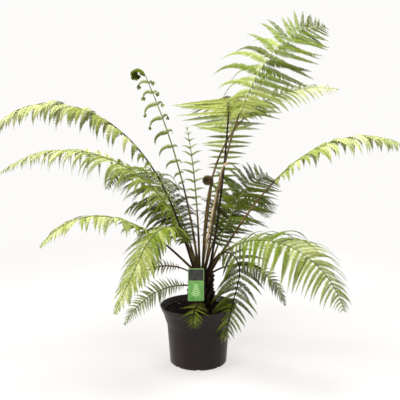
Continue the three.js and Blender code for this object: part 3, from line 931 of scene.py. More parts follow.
@dataclass
class Trunk(Part):
    """The short trunk: a fibrous column, the stubs of old stalks and strands of root.

    Its radius falls from the base to the neck and is rounded off to the crown, where dome has the
    last rings by radius and height over the crown's top. squash flattens the column while it is
    made uneven, so that its relief is drawn out along its height. stub_span has the share of the
    height where stubs begin and how much of it they cover, the closer together the larger
    stub_crowding is.
    """

    base_radius: float = 55.0
    neck_radius: float = 40.0
    crown_radius: float = 27.0
    crown_round: float = 14.0
    flare_power: float = 2.2
    skin: float = 2.5
    sunk: float = 4.0
    dome: Pairs = ((16.2, -4.5), (4.0, -4.0))
    sides: int = 96
    rings: int = 44
    squash: float = 0.16
    fibres: Pairs = ((0.012, 7.0), (0.004, 4.5))
    stub: Pairs = ((6.6, -8.0), (6.2, 0.0), (5.0, 12.0), (4.3, 22.0), (2.6, 23.4))
    stubs: int = 74
    stub_span: tuple[float, float] = (0.16, 0.76)
    stub_crowding: float = 0.85
    stub_stray: float = 0.15
    stub_squash: Triple = (1.15, 0.75, 1.0)
    stub_scale: tuple[float, float] = (0.65, 1.12)
    stub_lean: tuple[float, float] = (16.0, 34.0)
    stub_inside: float = 5.5
    stub_below: float = 8.0
    spiral: float = 137.5
    strands: int = 300
    strand_steps: int = 9
    strand_top: tuple[float, float] = (0.12, 0.98)
    strand_drop: tuple[float, float] = (0.12, 0.5)
    strand_stray: float = 0.035
    strand_lift: tuple[float, float] = (-1.5, 1.4)
    strand_bulge: float = 1.2
    strand_thinning: float = 0.45
    strand_radius: tuple[float, float] = (0.5, 1.35)
    strand_inside: float = 1.2
    hairs: int = 2600
    hair_length: tuple[float, float] = (3.0, 9.0)
    hair_width: float = 0.28
    seed: int = 5
    wear = [
        ([TRUNK_FIBRE], "trunk", ["trunk"]),
        ([OLD_STALK], "trunk", []),
        ([TRUNK_FIBRE, BRISTLE], "trunk", []),
    ]

    def radius_at(self, share: float) -> float:
        """Gives the trunk's radius.

        Args:
            share: of the trunk's height.

        Returns:
            The radius there.
        """
        neck = 1.0 - self.crown_round / TRUNK_HEIGHT
        if share <= neck:
            flare = self.base_radius - self.neck_radius
            return self.neck_radius + flare * (1 - share / neck) ** self.flare_power
        into = (share - neck) / (1 - neck)
        drop = 1 - math.sqrt(max(0.0, 1 - into**2))
        return self.neck_radius + (self.crown_radius - self.neck_radius) * drop

    def axis_at(self, share: float) -> float:
        """Gives the X of the trunk's middle at a share of its height."""
        return TRUNK_BASE_X + (TRUNK_TOP_X - TRUNK_BASE_X) * share

    def side_at(self, shares: Array, turns: Array, inside: float | Array) -> Array:
        """Gives points near the trunk's side.

        Args:
            shares: of its height.
            turns: about its axis.
            inside: how far they lie inside its radius.

        Returns:
            The points.
        """
        radii = np.array([self.radius_at(share) for share in np.atleast_1d(shares)])
        reach = radii.reshape(np.shape(shares)) - inside
        x, y = self.axis_at(shares) + reach * np.cos(turns), reach * np.sin(turns)
        return np.stack([x, y, TRUNK_FLOOR + shares * TRUNK_HEIGHT], axis=-1)

    def build(self) -> list[Piece]:
        """Models the column, the stubs and the strands.

        Returns:
            These three.
        """
        profile = []
        for i in range(self.rings + 1):
            share = i / self.rings
            low = TRUNK_FLOOR - self.sunk + share * TRUNK_HEIGHT
            profile.append((self.radius_at(share) - self.skin, low))
        profile += [(wide, CROWN_TOP + high) for wide, high in self.dome]
        trunk = turned_solid(profile, self.sides)
        self._stretch(trunk, self.squash)
        roughen(trunk, self.fibres, direction="NORMAL", mid_level=0.6)
        self._stretch(trunk, 1 / self.squash)
        for vertex in trunk.data.vertices:
            share = (vertex.co.z / MM - TRUNK_FLOOR) / TRUNK_HEIGHT
            vertex.co.x += self.axis_at(share) * MM
        return [settle(trunk, "trunk_column", smooth=60), self._stubs(), self._strands()]

    def _stretch(self, piece: Piece, factor: float) -> None:
        """Makes a piece a number of times as high, about the trunk's foot."""
        with editing(piece):
            resize((1, 1, factor), (0, 0, TRUNK_FLOOR * MM))

    def _stubs(self) -> Piece:
        """Models one cut stalk base and sets copies of it round the trunk in a spiral.

        Returns:
            The stubs, one joined mesh.
        """
        draw = random.Random(self.seed)
        stub = turned_solid(self.stub, 9)
        with editing(stub):
            resize(self.stub_squash)
        corners, triangles = take_apart(stub)
        faces = Faces()
        for i in range(self.stubs):
            share = self.stub_span[0] + self.stub_span[1] * (i / self.stubs) ** self.stub_crowding
            turn = i * math.radians(self.spiral) + draw.uniform(-self.stub_stray, self.stub_stray)
            scale = draw.uniform(*self.stub_scale)
            lean = math.radians(draw.uniform(*self.stub_lean))
            place = self.side_at(share, turn, self.stub_inside) - (0.0, 0.0, self.stub_below)
            faces.add(corners * scale @ rotation(0, lean, turn).T + place, triangles, 0)
        return faces.piece("stalk_stubs")

    def _strands(self) -> Piece:
        """Lays root strands down the trunk and stands hairs out of it.

        Returns:
            The strands and hairs, one joined mesh.
        """
        draw = np.random.default_rng(self.seed)
        faces = Faces()
        steps, level = self.strand_steps, np.zeros(self.strand_steps)
        for _ in range(self.strands):
            turn = draw.uniform(0, 2 * np.pi)
            top = draw.uniform(*self.strand_top)
            shares = np.linspace(top, max(0.0, top - draw.uniform(*self.strand_drop)), steps)
            turns = turn + np.cumsum(draw.normal(0, self.strand_stray, steps))
            bulge = self.strand_bulge * np.sin(np.linspace(0, np.pi, steps))
            lift = draw.uniform(*self.strand_lift) + bulge
            ups = np.stack([np.cos(turns), np.sin(turns), level], axis=1)
            lefts = np.stack([-np.sin(turns), np.cos(turns), level], axis=1)
            thinning = np.linspace(1.0, self.strand_thinning, steps)
            radii = draw.uniform(*self.strand_radius) * thinning
            centres = self.side_at(shares, turns, self.strand_inside - lift)
            faces.tube(centres, lefts, ups, radii, 4, 0)
        turns = draw.uniform(0, 2 * np.pi, self.hairs)
        shares = draw.uniform(0.0, 0.97, self.hairs)
        out = np.stack([np.cos(turns), np.sin(turns), np.zeros(self.hairs)], axis=1)
        ways = unit(out + draw.normal(0, 0.45, out.shape) + [0, 0, 0.35])
        length = draw.uniform(*self.hair_length, self.hairs)
        faces.spikes(self.side_at(shares, turns, 2.0), ways, length, self.hair_width, 1)
        return faces.piece("root_strands")


@dataclass
class Label(Part):
    """The plant label: a card with a dark head and a green field, on a stake behind it.

    The motif's reach is half its height as a part of the field's, and its leaves' length a part of
    the card's width, which shrinks towards the top; span has the lowest pair's place and how much
    of the motif's height the pairs cover.
    """

    width: float = 57.0
    top: float = 363.0
    bottom: float = 245.0
    x: float = -8.0
    y: float = -66.0
    thickness: float = 0.7
    corner: float = 3.0
    margin: float = 2.0
    print_thickness: float = 0.12
    print_corner: float = 2.0
    field_bottom: float = 247.0
    field_top: float = 317.0
    head: tuple[float, float] = (319.0, 360.0)
    motif_leaves: int = 6
    motif_thickness: float = 0.14
    motif_reach: float = 0.36
    motif_stem: float = 1.4
    motif_length: float = 0.34
    motif_width: float = 2.6
    motif_shrink: float = 0.62
    motif_span: tuple[float, float] = (0.12, 0.8)
    motif_lean: float = 28.0
    stake_behind: float = 2.25
    rib_behind: float = 0.9
    stake: tuple[Triple, Triple] = ((6.0, 2.6, 140.0), (1.6, 1.4, 136.0))
    stake_heights: tuple[float, float] = (270.0, 271.0)
    wear = [
        ([], "label_card", ["label_card"]),
        ([STAKE_PLASTIC], "label_stake", ["label_stake"]),
    ]

    def build(self) -> list[Piece]:
        """Models the card with its print, and the stake, a ribbed strip.

        Returns:
            The card and the stake, each one joined mesh.
        """
        face = self.y - self.thickness / 2
        inner, corner = self.width - 2 * self.margin, self.print_corner
        plates = [
            (self._plate(self.width, (self.bottom, self.top), self.y, self.corner), CARD_BASE),
            (self._plate(inner, (self.field_bottom, self.field_top), face, corner), CARD_GREEN),
            (self._plate(inner, self.head, face, corner), CARD_DARK),
        ]
        plates += [(leaf, CARD_PALE) for leaf in self._motif(face)]
        for plate, look in plates:
            plate.data.materials.append(look.material(self.effects))
        card = join_pieces([plate for plate, _ in plates], "label_print")
        depth = self.y + self.stake_behind
        strip = soft_box(self.stake[0], (self.x, depth, self.stake_heights[0]), 0.7)
        place = (self.x, depth + self.rib_behind, self.stake_heights[1])
        rib = soft_box(self.stake[1], place, 0.5)
        parts = [settle(strip, "strip"), settle(rib, "rib")]
        return [card, join_pieces(parts, "label_stake_strip", smooth=40)]

    def _plate(self, width: float, span: tuple[float, float], y: float, corner: float) -> Piece:
        """Models a thin plate with round corners.

        Args:
            width: of the plate.
            span: heights of its lower and its upper edge.
            y: its depth.
            corner: radius of its corners.

        Returns:
            The plate.
        """
        thick = (self.thickness if y == self.y else self.print_thickness) * MM
        deselect_all()
        bpy.ops.mesh.primitive_cube_add(size=1)
        plate = bpy.context.object
        with editing(plate):
            bpy.ops.mesh.select_mode(type="EDGE")
            resize((width * MM, (span[1] - span[0]) * MM, thick))
            bpy.ops.mesh.select_all(action="DESELECT")
        for edge in plate.data.edges:
            first, second = (plate.data.vertices[i].co for i in edge.vertices)
            edge.select = abs(first.z - second.z) > thick / 2
        bpy.ops.object.mode_set(mode="EDIT")
        bpy.ops.mesh.bevel(offset=corner * MM, segments=5, affect="EDGES")
        bpy.ops.mesh.select_mode(type="VERT")
        bpy.ops.mesh.select_all(action="SELECT")
        rotate(-math.pi / 2, "X")
        middle = (span[0] + span[1]) / 2
        bpy.ops.transform.translate(value=(self.x * MM, y * MM, middle * MM))
        bpy.ops.object.mode_set(mode="OBJECT")
        return settle(plate, "plate")

    def _motif(self, face: float) -> list[Piece]:
        """Models pairs of plain leaves on a stem, as a flat raised print.

        Args:
            face: depth of the card's front.

        Returns:
            The leaves and their stem.
        """
        middle = (self.field_bottom + self.field_top) / 2
        reach = self.motif_reach * (self.field_top - self.field_bottom)
        size = (self.motif_stem, self.motif_thickness, 2 * reach)
        made = [settle(soft_box(size, (self.x, face - 0.06, middle), 0.05), "motif_stem")]
        for i in range(self.motif_leaves):
            share = i / (self.motif_leaves - 1)
            length = self.motif_length * self.width * (1.0 - self.motif_shrink * share)
            lift = middle - reach + 2 * reach * (self.motif_span[0] + self.motif_span[1] * share)
            for side in (-1, 1):
                deselect_all()
                bpy.ops.mesh.primitive_circle_add(
                    vertices=20, radius=MM, fill_type="NGON", rotation=(math.pi / 2, 0, 0)
                )
                leaf = bpy.context.object
                with editing(leaf):
                    out = (0, -self.motif_thickness * MM, 0)
                    bpy.ops.mesh.extrude_region_move(TRANSFORM_OT_translate={"value": out})
                    bpy.ops.mesh.select_all(action="SELECT")
                    bpy.ops.mesh.normals_make_consistent(inside=False)
                    resize((length / 2, 1, self.motif_width))
                    bpy.ops.transform.translate(value=(side * length / 2 * MM, 0, 0))
                    rotate(side * math.radians(self.motif_lean), "Y")
                    place = (self.x * MM, (face - 0.02) * MM, lift * MM)
                    bpy.ops.transform.translate(value=place)
                made.append(settle(leaf, "motif_leaf"))
        return made


# ---- Stems and fronds


@dataclass(frozen=True)
class Stem:
    """The few sizes that a stem's curve is worked out from, in millimetres and degrees.

    It leaves the crown at slope rise and ends at slope tip, turning late where bend is large, or
    between two shares of its length where it has a knee. sweep is how far its heading turns, and
    its last part coils by curl.
    """

    name: str
    heading: float
    rise: float
    tip: float
    length: float
    bend: float = 1.0
    knee: tuple[float, float] | None = None
    sweep: float = 0.0
    curl: float = 0.0
    curled: float = 0.0
    curl_power: float = 1.35
    foot: float | None = None
    ring: float = STALK_RING
    level: float = STALK_LEVEL

    def directions(self, s: Array) -> tuple[Array, Array]:
        """Gives the stem's own directions.

        Args:
            s: lengths from the foot.

        Returns:
            Unit vectors along the stem, and to its left.
        """
        share = s / self.length
        if self.knee:
            low, high = self.knee
            eased = np.clip((share - low) / (high - low), 0, 1)
            bent = eased**2 * (3 - 2 * eased)
        else:
            bent = np.clip(share, 0, None) ** self.bend
        into = np.clip(s - (self.length - self.curled), 0, None) / (self.curled or 1.0)
        opened = self.rise + (self.tip - self.rise) * bent
        slope = np.radians(opened - self.curl * into**self.curl_power)
        turn = np.radians(self.heading + self.sweep * s / self.length)
        level = np.cos(slope)
        along = np.stack([np.cos(turn) * level, np.sin(turn) * level, np.sin(slope)], axis=-1)
        left = np.stack([-np.sin(turn), np.cos(turn), np.zeros_like(turn)], axis=-1)
        return along, left


class Path:
    """A stem's curve through space."""

    STEP = 4.0

    def __init__(self, stem: Stem) -> None:
        """Follows the stem from its foot.

        Args:
            stem: its sizes.
        """
        self.stem = stem
        foot = math.radians(stem.heading if stem.foot is None else stem.foot)
        x, y = TRUNK_TOP_X + stem.ring * math.cos(foot), stem.ring * math.sin(foot)
        start = np.array([x, y, stem.level])
        count = math.ceil(stem.length / self.STEP)
        step = stem.length / count
        moves = stem.directions((np.arange(count) + 0.5) * step)[0] * step
        self.lengths = np.arange(count + 1) * step
        self.points = np.vstack([start, start + np.cumsum(moves, axis=0)])

    def at(self, s: Array) -> tuple[Array, Array, Array, Array]:
        """Gives the frames of cross-sections.

        Args:
            s: lengths from the foot.

        Returns:
            Centres, and unit vectors along, to the left and up.
        """
        along, left = self.stem.directions(s)
        return read(self.points, self.lengths, s), along, left, np.cross(along, left)

    def around(self, s: Array, draw: np.random.Generator) -> tuple[Array, Array, Array]:
        """Draws ways out of the stem.

        Args:
            s: lengths from the foot.
            draw: the order of random draws.

        Returns:
            Centres, unit vectors along the stem and unit vectors out of it.
        """
        centre, along, left, up = self.at(s)
        turn = draw.uniform(0, 2 * np.pi, (len(s), 1))
        return centre, along, np.cos(turn) * up + np.sin(turn) * left


class Rib(Enum):
    """The skins of a frond's stalk, of its rib and of its leaflets' ribs."""

    BROWN = (STALK_SKIN, GREEN_RIB, GREEN_RIB)
    DARK = (DARK_STALK, DARK_STALK, STALK_SKIN)
    PALE = (STALK_SKIN, PALE_RIB, PALE_RIB)
    DRY = (STALK_SKIN, STALK_SKIN, STALK_SKIN)


@dataclass(frozen=True)
class Frond(Stem):
    """A frond: a stem whose first part is bare and whose rest carries leaflets.

    leaflet is the longest leaflet, droop how far leaflets hang and roll how far the blade turns
    about its rib. tones are the leaf tints at the blade's base and tip: dark ones are painted shade
    for fronds inside, behind or under the crown, and light ones the young leaves' own yellow-green
    with painted light for lit fronds. Leaflets grow from shortest at the base to full length at
    widest_at, the faster the smaller swell is, and lean forward by the two angles of lean. closest
    is how near short ones stand together, and sparse_base how much farther apart the lowest do.
    right is how the right leaflets' length, lean and droop compare with the left ones'. stiff keeps
    them from rising at their roots, and crescent curls them.
    fullness and fill are the length and the width of small leaves, and taper how soon these
    shorten along a leaflet. split tells that the solid blade has a tip of its own.
    """

    stalk: float = 200.0
    leaflet: float = 100.0
    droop: float = 30.0
    droop_at_tip: float | None = None
    roll: float = 0.0
    radius: float = 5.2
    rib_radius: float = 2.9
    split: bool = False
    spacing: float = 29.0
    # Low tints are painted shade; high ones the young leaves' colour with painted light.
    tints_and_painted_light: tuple[float, float] = (2.0, 3.0)
    rib: Rib = Rib.BROWN
    fullness: float = 1.0
    fill: float = 0.46
    taper: float = 0.65
    closest: float = 0.5
    widest_at: float = 0.36
    shortest: float = 0.34
    swell: float = 1.0
    sparse_base: float = 0.0
    lean: tuple[float, float] = (12.0, 48.0)
    crescent: float = 0.0
    stiff: float = 0.0
    right: Triple = (1.0, 1.0, 1.0)
    slot: str = "frond"


# Dark tones paint shade on fronds inside or under the crown; light tones add painted light.
FRONDS = [
    Frond("left_arch", 192, 73, -62, 1100, bend=2.2, stalk=300, leaflet=140, droop=50, split=True,
          tints_and_painted_light=(2.3, 4.8), rib=Rib.DARK, spacing=23, shortest=0.3, widest_at=0.46, swell=2.4,
          sparse_base=2.0, fullness=1.75, taper=1.1),
    Frond("left_middle", 166, 80, -36, 1030, bend=1.05, stalk=150, leaflet=160, droop=46,
          split=True, tints_and_painted_light=(2.0, 5.3), spacing=21, fullness=0.95, taper=0.9),
    Frond("left_spread", 212, 44, -56, 670, bend=2.3, stalk=200, leaflet=110, split=True,
          tints_and_painted_light=(2.2, 4.4), spacing=18, fullness=1.4, taper=1.0),
    Frond("left_droop", 231, 66, -54, 620, knee=(0.12, 0.7), stalk=130, leaflet=118, droop=28,
          split=True, tints_and_painted_light=(1.6, 3.9), spacing=17, lean=(24, 50), fullness=1.2),
    Frond("left_inner", 148, 69, -54, 470, bend=2.0, stalk=110, leaflet=110, droop=34, roll=-24,
          tints_and_painted_light=(0.3, 1.4), spacing=18),
    Frond("left_low", 211, 22, -60, 340, bend=1.1, level=278, ring=12, stalk=70, leaflet=54,
          droop=12, roll=-66, radius=3.6, tints_and_painted_light=(1.9, 4.4), spacing=12, lean=(10, 44),
          fullness=0.8),
    Frond("left_dry", 183, 54, -56, 310, bend=0.85, level=305, ring=12, stalk=90, leaflet=42,
          droop=24, roll=-60, radius=3.4, tints_and_painted_light=(0.4, 6.4), rib=Rib.DRY, spacing=12,
          fullness=0.75, slot="dry_frond"),
    Frond("young", 168, 84, 62, 860, curl=320, curled=120, ring=14, stalk=330, leaflet=74,
          droop=38, roll=-62, tints_and_painted_light=(3.1, 2.3), spacing=58, crescent=30, fullness=1.15,
          right=(0.5, 1.0, 1.0)),
    Frond("slim_upright", 126, 88, 72, 540, bend=1.4, ring=16, stalk=220, leaflet=60, droop=20,
          tints_and_painted_light=(3.0, 3.4), spacing=34, fullness=0.8),
    Frond("back_tall", 60, 68, -66, 985, sweep=38, bend=4.2, foot=20, ring=28, stalk=250,
          leaflet=260, droop=20, split=True, tints_and_painted_light=(1.9, 3.9), rib=Rib.DARK, rib_radius=4.4,
          spacing=15, widest_at=0.66, shortest=0.25, swell=6.0, sparse_base=2.4, stiff=0.9,
          fullness=0.9, fill=0.5),
    Frond("back_left", 128, 66, -50, 860, bend=1.5, stalk=120, leaflet=175, droop=32, split=True,
          tints_and_painted_light=(0.2, 2.4), spacing=21, fullness=0.8),
    Frond("back_right", 62, 58, -58, 760, bend=1.4, foot=68, ring=28, stalk=110, leaflet=165,
          droop=32, split=True, tints_and_painted_light=(0.0, 2.2), spacing=21, fullness=0.8),
    Frond("right_high", 40, 78, 0, 1250, bend=2.3, ring=14, stalk=600, leaflet=200, droop=60,
          droop_at_tip=-6, roll=52, split=True, tints_and_painted_light=(3.0, 0.9), rib=Rib.PALE, spacing=32,
          closest=0.28, shortest=0.3, stiff=0.6, fullness=1.05, fill=0.5, right=(1.0, 1.0, 0.15)),
    Frond("right_lime", 80, 84, -12, 1030, sweep=-90, bend=1.6, ring=20, stalk=620, leaflet=96,
          droop=24, roll=40, tints_and_painted_light=(2.4, 4.6), rib=Rib.PALE, spacing=19, fullness=0.85),
    Frond("right_arch", 355, 59, -46, 960, bend=2.5, ring=30, stalk=410, leaflet=128, droop=42,
          split=True, tints_and_painted_light=(2.9, 4.4), spacing=23, sparse_base=0.4, fullness=1.8, taper=1.1),
    Frond("right_inner", 52, 54, -45, 620, bend=3.2, foot=42, ring=30, stalk=110, leaflet=160,
          droop=14, roll=34, tints_and_painted_light=(0.5, 1.7), spacing=24, fullness=0.9, fill=0.5,
          right=(1.0, 1.0, 0.5)),
    Frond("right_spread", 327, 66, -72, 655, bend=0.9, foot=322, ring=30, stalk=140, leaflet=165,
          roll=30, split=True, tints_and_painted_light=(1.2, 3.9), spacing=19, lean=(30, 52), fullness=0.74,
          right=(1.0, 0.3, 1.0)),
    Frond("right_small", 342, 44, -78, 360, level=322, ring=24, stalk=120, leaflet=54, droop=20,
          roll=40, radius=3.4, tints_and_painted_light=(0.4, 2.0), spacing=13, fullness=0.85),
    Frond("right_hang", 318, 54, -106, 510, knee=(0.1, 0.54), foot=300, stalk=90, leaflet=118,
          droop=22, roll=40, split=True, tints_and_painted_light=(0.2, 3.0), rib=Rib.DARK, spacing=23,
          fullness=0.9),
    Frond("front_small", 259, 26, -84, 195, bend=1.7, level=216, ring=10, stalk=64, leaflet=60,
          droop=12, radius=3.2, tints_and_painted_light=(1.2, 2.0), rib=Rib.DARK, spacing=13, shortest=0.5,
          lean=(16, 44), fullness=0.72),
]
FROND_SEED = 3
FIDDLEHEAD = Stem("fiddlehead", 350, 86, 80, 430, curl=-480, curled=105, ring=16, foot=270)
PALE_STALK = Stem("pale_stalk", 12, 80, 76, 415, bend=1.5, curl=60, curled=46, ring=3, foot=225)


@dataclass
class Grower(Part):
    """Grows one frond by the solids' rule, with closer leaflets that carry small leaves.

    bristles is their number to a millimetre of stalk, bristle_lengths their lengths at its foot,
    where they thin out and at its end. A stray is the spread of a random draw. leaflet_rib has the
    radius of a leaflet's rib at its root, how it grows with the leaflet's length, and the one at
    its tip. leaf_size and leaf_gap tell how a small leaf's length, and the gap to the next within
    its bounds, follow the leaflet's length; leaf_lean is in degrees, at the leaflet's root and
    what comes to it towards the tip.
    """

    frond: Frond
    draw: np.random.Generator
    shortest_at_tip: float = 0.08
    taper_power: float = 0.9
    hang_at_root: float = -0.1
    hang_gain: float = 1.85
    root_lift: float = 0.34
    shortest_kept: float = 4.0
    sides: int = 8
    rib_overlap: float = 1.0
    rib_beyond: float = 4.0
    rib_end: float = 0.7
    coil_radii: tuple[float, float] = (2.4, 1.2)
    unevenness: float = 0.03
    bristles: float = 1.1
    bristles_from: float = 10.0
    bristle_lengths: Triple = (9.0, 4.0, 2.0)
    bristles_thin_at: float = 90.0
    bristle_width: float = 0.2
    stray: float = 1.2
    length_range: tuple[float, float] = (0.9, 1.06)
    droop_range: tuple[float, float] = (0.85, 1.3)
    lean_stray: float = 5.0
    roll_stray: float = 7.0
    twist_stray: float = 9.0
    leaflet_rib: Triple = (0.4, 0.0045, 0.22)
    segments: int = 9
    leaf_size: tuple[float, float] = (4.2, 0.095)
    leaf_gap: Triple = (4.0, 0.045, 7.4)
    leaf_lean: tuple[float, float] = (24.0, 30.0)
    leaf_tilt: tuple[float, float] = (0.11, 0.13)
    lobed_from: float = 16.0
    tone_spread: float = 0.42
    bud_leaves: int = 22
    buds_from: float = 0.4
    coil_leaves: int = 90
    coil_lumps: int = 9
    lump_size: float = 1.3
    path: Path = field(init=False)
    stem: Faces = field(init=False, default_factory=Faces)
    leaves: Faces = field(init=False, default_factory=Faces)

    def __post_init__(self) -> None:
        """Follows the frond's curve and looks up what its stem and its leaflets wear."""
        frond = self.frond
        self.path = Path(frond)
        blades = [f"frond_{frond.name}", f"frond_{frond.name}_tip"][:1 + frond.split]
        slot = "dry_frond" if frond.rib is Rib.DRY else "stalk"
        self.wear = [
            ([*frond.rib.value, BRISTLE], slot, ["stalk_" + frond.name]),
            ([LEAF_FINISHES[tone] for tone in Tone], frond.slot, blades),
        ]

    def leaflet_share(self, u: float) -> float:
        """Gives how long a leaflet is, as a part of the longest.

        Args:
            u: its share of the blade, from 0 at the base to 1 at the tip.

        Returns:
            The part of the longest leaflet's length.
        """
        frond = self.frond
        if u < frond.widest_at:
            grown = math.sin(u / frond.widest_at * math.pi / 2) ** frond.swell
            return frond.shortest + (1 - frond.shortest) * grown
        left = (1 - u) / (1 - frond.widest_at)
        grown = math.sin(max(0.0, left) * math.pi / 2) ** self.taper_power
        return self.shortest_at_tip + (1 - self.shortest_at_tip) * grown

    def stations(self) -> Array:
        """Spaces the leaflets along the blade, closer together where they are short.

        Returns:
            Lengths from the foot, one for each pair of leaflets.
        """
        frond = self.frond
        blade = frond.length - frond.curled - frond.stalk
        found = [0.0]
        while found[-1] < blade:
            u = found[-1] / blade
            gap = frond.spacing * (frond.closest + (1 - frond.closest) * self.leaflet_share(u))
            gap *= 1 + frond.sparse_base * max(0.0, 1 - u / frond.widest_at)
            found.append(found[-1] + gap)
        return frond.stalk + np.array(found[:-1]) * blade / found[-1]

    def build(self) -> list[Piece]:
        """Grows the frond.

        Returns:
            Its stem and ribs, and its leaflets.
        """
        frond = self.frond
        thin = frond.rib_radius
        self._tube(0.0, frond.stalk, (frond.radius, thin), 0)
        first, last = frond.stalk - self.rib_overlap, frond.length + self.rib_beyond
        self._tube(first, last, (thin - 0.05, self.rib_end), 1)
        self._bristles()
        for s in self.stations():
            for side in (1, -1):
                self._leaflet(s, side)
        if frond.curled:
            self._coil_leaves()
        return [self.stem.piece("stem_" + frond.name), self.leaves.piece("leaves_" + frond.name)]

    def _tube(self, first: float, last: float, ends: tuple[float, float], look: int) -> None:
        """Adds the stalk, or the rib that goes on from it.

        Args:
            first: where it begins, from the foot.
            last: where it ends.
            ends: its first and its last radius.
            look: material index, 0 for the stalk and 1 for the rib.
        """
        length, curled = self.frond.length, self.frond.curled
        count = max(8, int((last - first) / 12.0), int(curled / 3) if look else 0)
        s = np.linspace(first, last, count)
        centre, _, left, up = self.path.at(np.minimum(s, length))
        share = (s - first) / (last - first)
        radii = ends[0] + (ends[1] - ends[0]) * (share**1.7 if look else share)
        if curled and look:
            coil = np.interp(s, (length - curled, length), self.coil_radii)
            radii = np.where(s > length - curled, coil, radii)
        radii *= 1 + self.draw.normal(0, self.unevenness, count)
        self.stem.tube(centre, left, up, radii, self.sides, look)

    def _bristles(self) -> None:
        """Adds bristles to the stalk, thick at its foot and sparse above."""
        stalk, first = self.frond.stalk, self.bristles_from
        count = int(stalk * self.bristles)
        s = first + (stalk - first) * self.draw.uniform(0, 1, count) ** 1.7
        centre, along, out = self.path.around(s, self.draw)
        radius = np.interp(s, (0, stalk), (self.frond.radius, self.frond.rib_radius)) * 0.9
        length = np.interp(s, (0, self.bristles_thin_at, stalk), self.bristle_lengths)
        length = length * self.draw.uniform(0.5, 1.2, count)
        ways = unit(out + 0.9 * along + self.draw.normal(0, 0.2, out.shape))
        self.stem.spikes(centre + out * radius[:, None], ways, length, self.bristle_width, 3)

    def _leaflet(self, s: float, side: int) -> None:
        """Adds one leaflet: its curved rib and the small leaves on both sides of it.

        Args:
            s: where the leaflet stands, from the foot.
            side: 1 on the left and -1 on the right.
        """
        frond, draw = self.frond, self.draw
        longer, leaner, lower = frond.right if side < 0 else (1.0, 1.0, 1.0)
        u = (s - frond.stalk) / (frond.length - frond.stalk)
        offset = draw.normal(0, self.stray)
        centre, along, left, up = (part[0] for part in self.path.at(np.array([s + offset])))
        length = frond.leaflet * self.leaflet_share(u) * draw.uniform(*self.length_range) * longer
        if length < self.shortest_kept:
            return
        lean = (frond.lean[0] + (frond.lean[1] - frond.lean[0]) * u) * leaner
        lean = math.radians(lean + draw.normal(0, self.lean_stray))
        roll = math.radians(frond.roll + draw.normal(0, self.roll_stray))
        across = left * math.cos(roll) + up * math.sin(roll)
        out = across * side * math.cos(lean) + along * math.sin(lean)
        t = np.linspace(0, 1, self.segments + 1)
        end = frond.droop if frond.droop_at_tip is None else frond.droop_at_tip
        droop = (frond.droop + (end - frond.droop) * u) * draw.uniform(*self.droop_range) * lower
        lift = draw.uniform(0, self.root_lift) * (1 - t)
        hang = self.hang_at_root - lift + self.hang_gain * t
        hang += (1 - hang) * frond.stiff
        angle = np.radians(droop * hang + frond.crescent * t**1.6)
        ways = out[None] * np.cos(angle)[:, None]
        ways[:, 2] -= np.sin(angle)
        ways = unit(ways)
        moves = (ways[1:] + ways[:-1]) / 2 * (length / self.segments)
        curve = centre + np.vstack([np.zeros(3), np.cumsum(moves, axis=0)])
        flat = unit(along[None] - ways * (ways @ along)[:, None])
        face = np.cross(flat, ways) * side
        twist = math.radians(draw.normal(0, self.twist_stray)) * t[:, None]
        wide = flat * np.cos(twist) + face * np.sin(twist)
        normal = face * np.cos(twist) - flat * np.sin(twist)
        root, gain, tip = self.leaflet_rib
        radii = np.interp(t, (0, 1), (root + gain * length, tip))
        self.stem.tube(curve, wide, normal, radii, 3, 2)
        self._small_leaves(u, length, (curve, ways, wide, normal))
        if frond.curled and u > self.buds_from:
            self._bud(u, curve[-1])

    def _small_leaves(self, u: float, length: float, rib: Sequence[Array]) -> None:
        """Adds the small leaves of one leaflet, all of one tint.

        Args:
            u: the leaflet's share of the blade.
            length: of the leaflet.
            rib: points of the leaflet's rib, and unit vectors along it, across it towards the
                frond's tip and out of its upper face.
        """
        frond, draw = self.frond, self.draw
        size = (self.leaf_size[0] + self.leaf_size[1] * length) * frond.fullness
        closest, gain, widest = self.leaf_gap
        gap = min(max(closest, gain * length), widest)
        count = max(3, round(0.97 * length / gap))
        share = (np.arange(count) + 0.4) / count
        grown = np.minimum(0.7 + 2.4 * share, 1.0) * np.clip(1.04 - share, 0.05, 1) ** frond.taper
        tone = self._tone(u)
        shape = LOBED_LEAF if size > self.lobed_from else PLAIN_LEAF
        spread = np.radians(self.leaf_lean[0] + self.leaf_lean[1] * share)
        known = np.linspace(0, 1, self.segments + 1)
        roots, forward, out, up = (read(part, known, share) for part in rib)
        for side in (1, -1):
            lean = spread + draw.normal(0, 0.05, count)
            x = side * out * np.cos(lean)[:, None] + forward * np.sin(lean)[:, None]
            x = unit(x - up * draw.uniform(0.05, 0.3, (count, 1)))
            tilted = up + side * out * draw.normal(0, self.leaf_tilt[0], (count, 1))
            tilted = tilted + forward * draw.normal(0, self.leaf_tilt[1], (count, 1))
            z = unit(tilted - x * np.sum(tilted * x, axis=1, keepdims=True))
            long = size * grown * draw.uniform(0.9, 1.05, count)
            half = np.minimum(frond.fill * length / count, 0.4 * long)
            sizes = (long, half, half * 1.6)
            self.leaves.leaves(shape, roots, (x, np.cross(z, x), z), sizes, tone)

    def _bud(self, u: float, tip: Array) -> None:
        """Adds the curled end of a leaflet that hasn't opened yet, a ball of small leaves.

        Args:
            u: the leaflet's share of the blade.
            tip: the leaflet's end.
        """
        count = self.bud_leaves
        x = unit(self.draw.normal(0, 1, (count, 3)))
        z = unit(np.cross(x, self.draw.normal(0, 1, (count, 3))))
        long = (4.5 + 6.0 * u) * self.draw.uniform(0.6, 1.2, count)
        axes, sizes = (x, np.cross(z, x), z), (long, long * 0.4, long)
        self.leaves.leaves(PLAIN_LEAF, tip + x * 1.5, axes, sizes, self._tone(u))

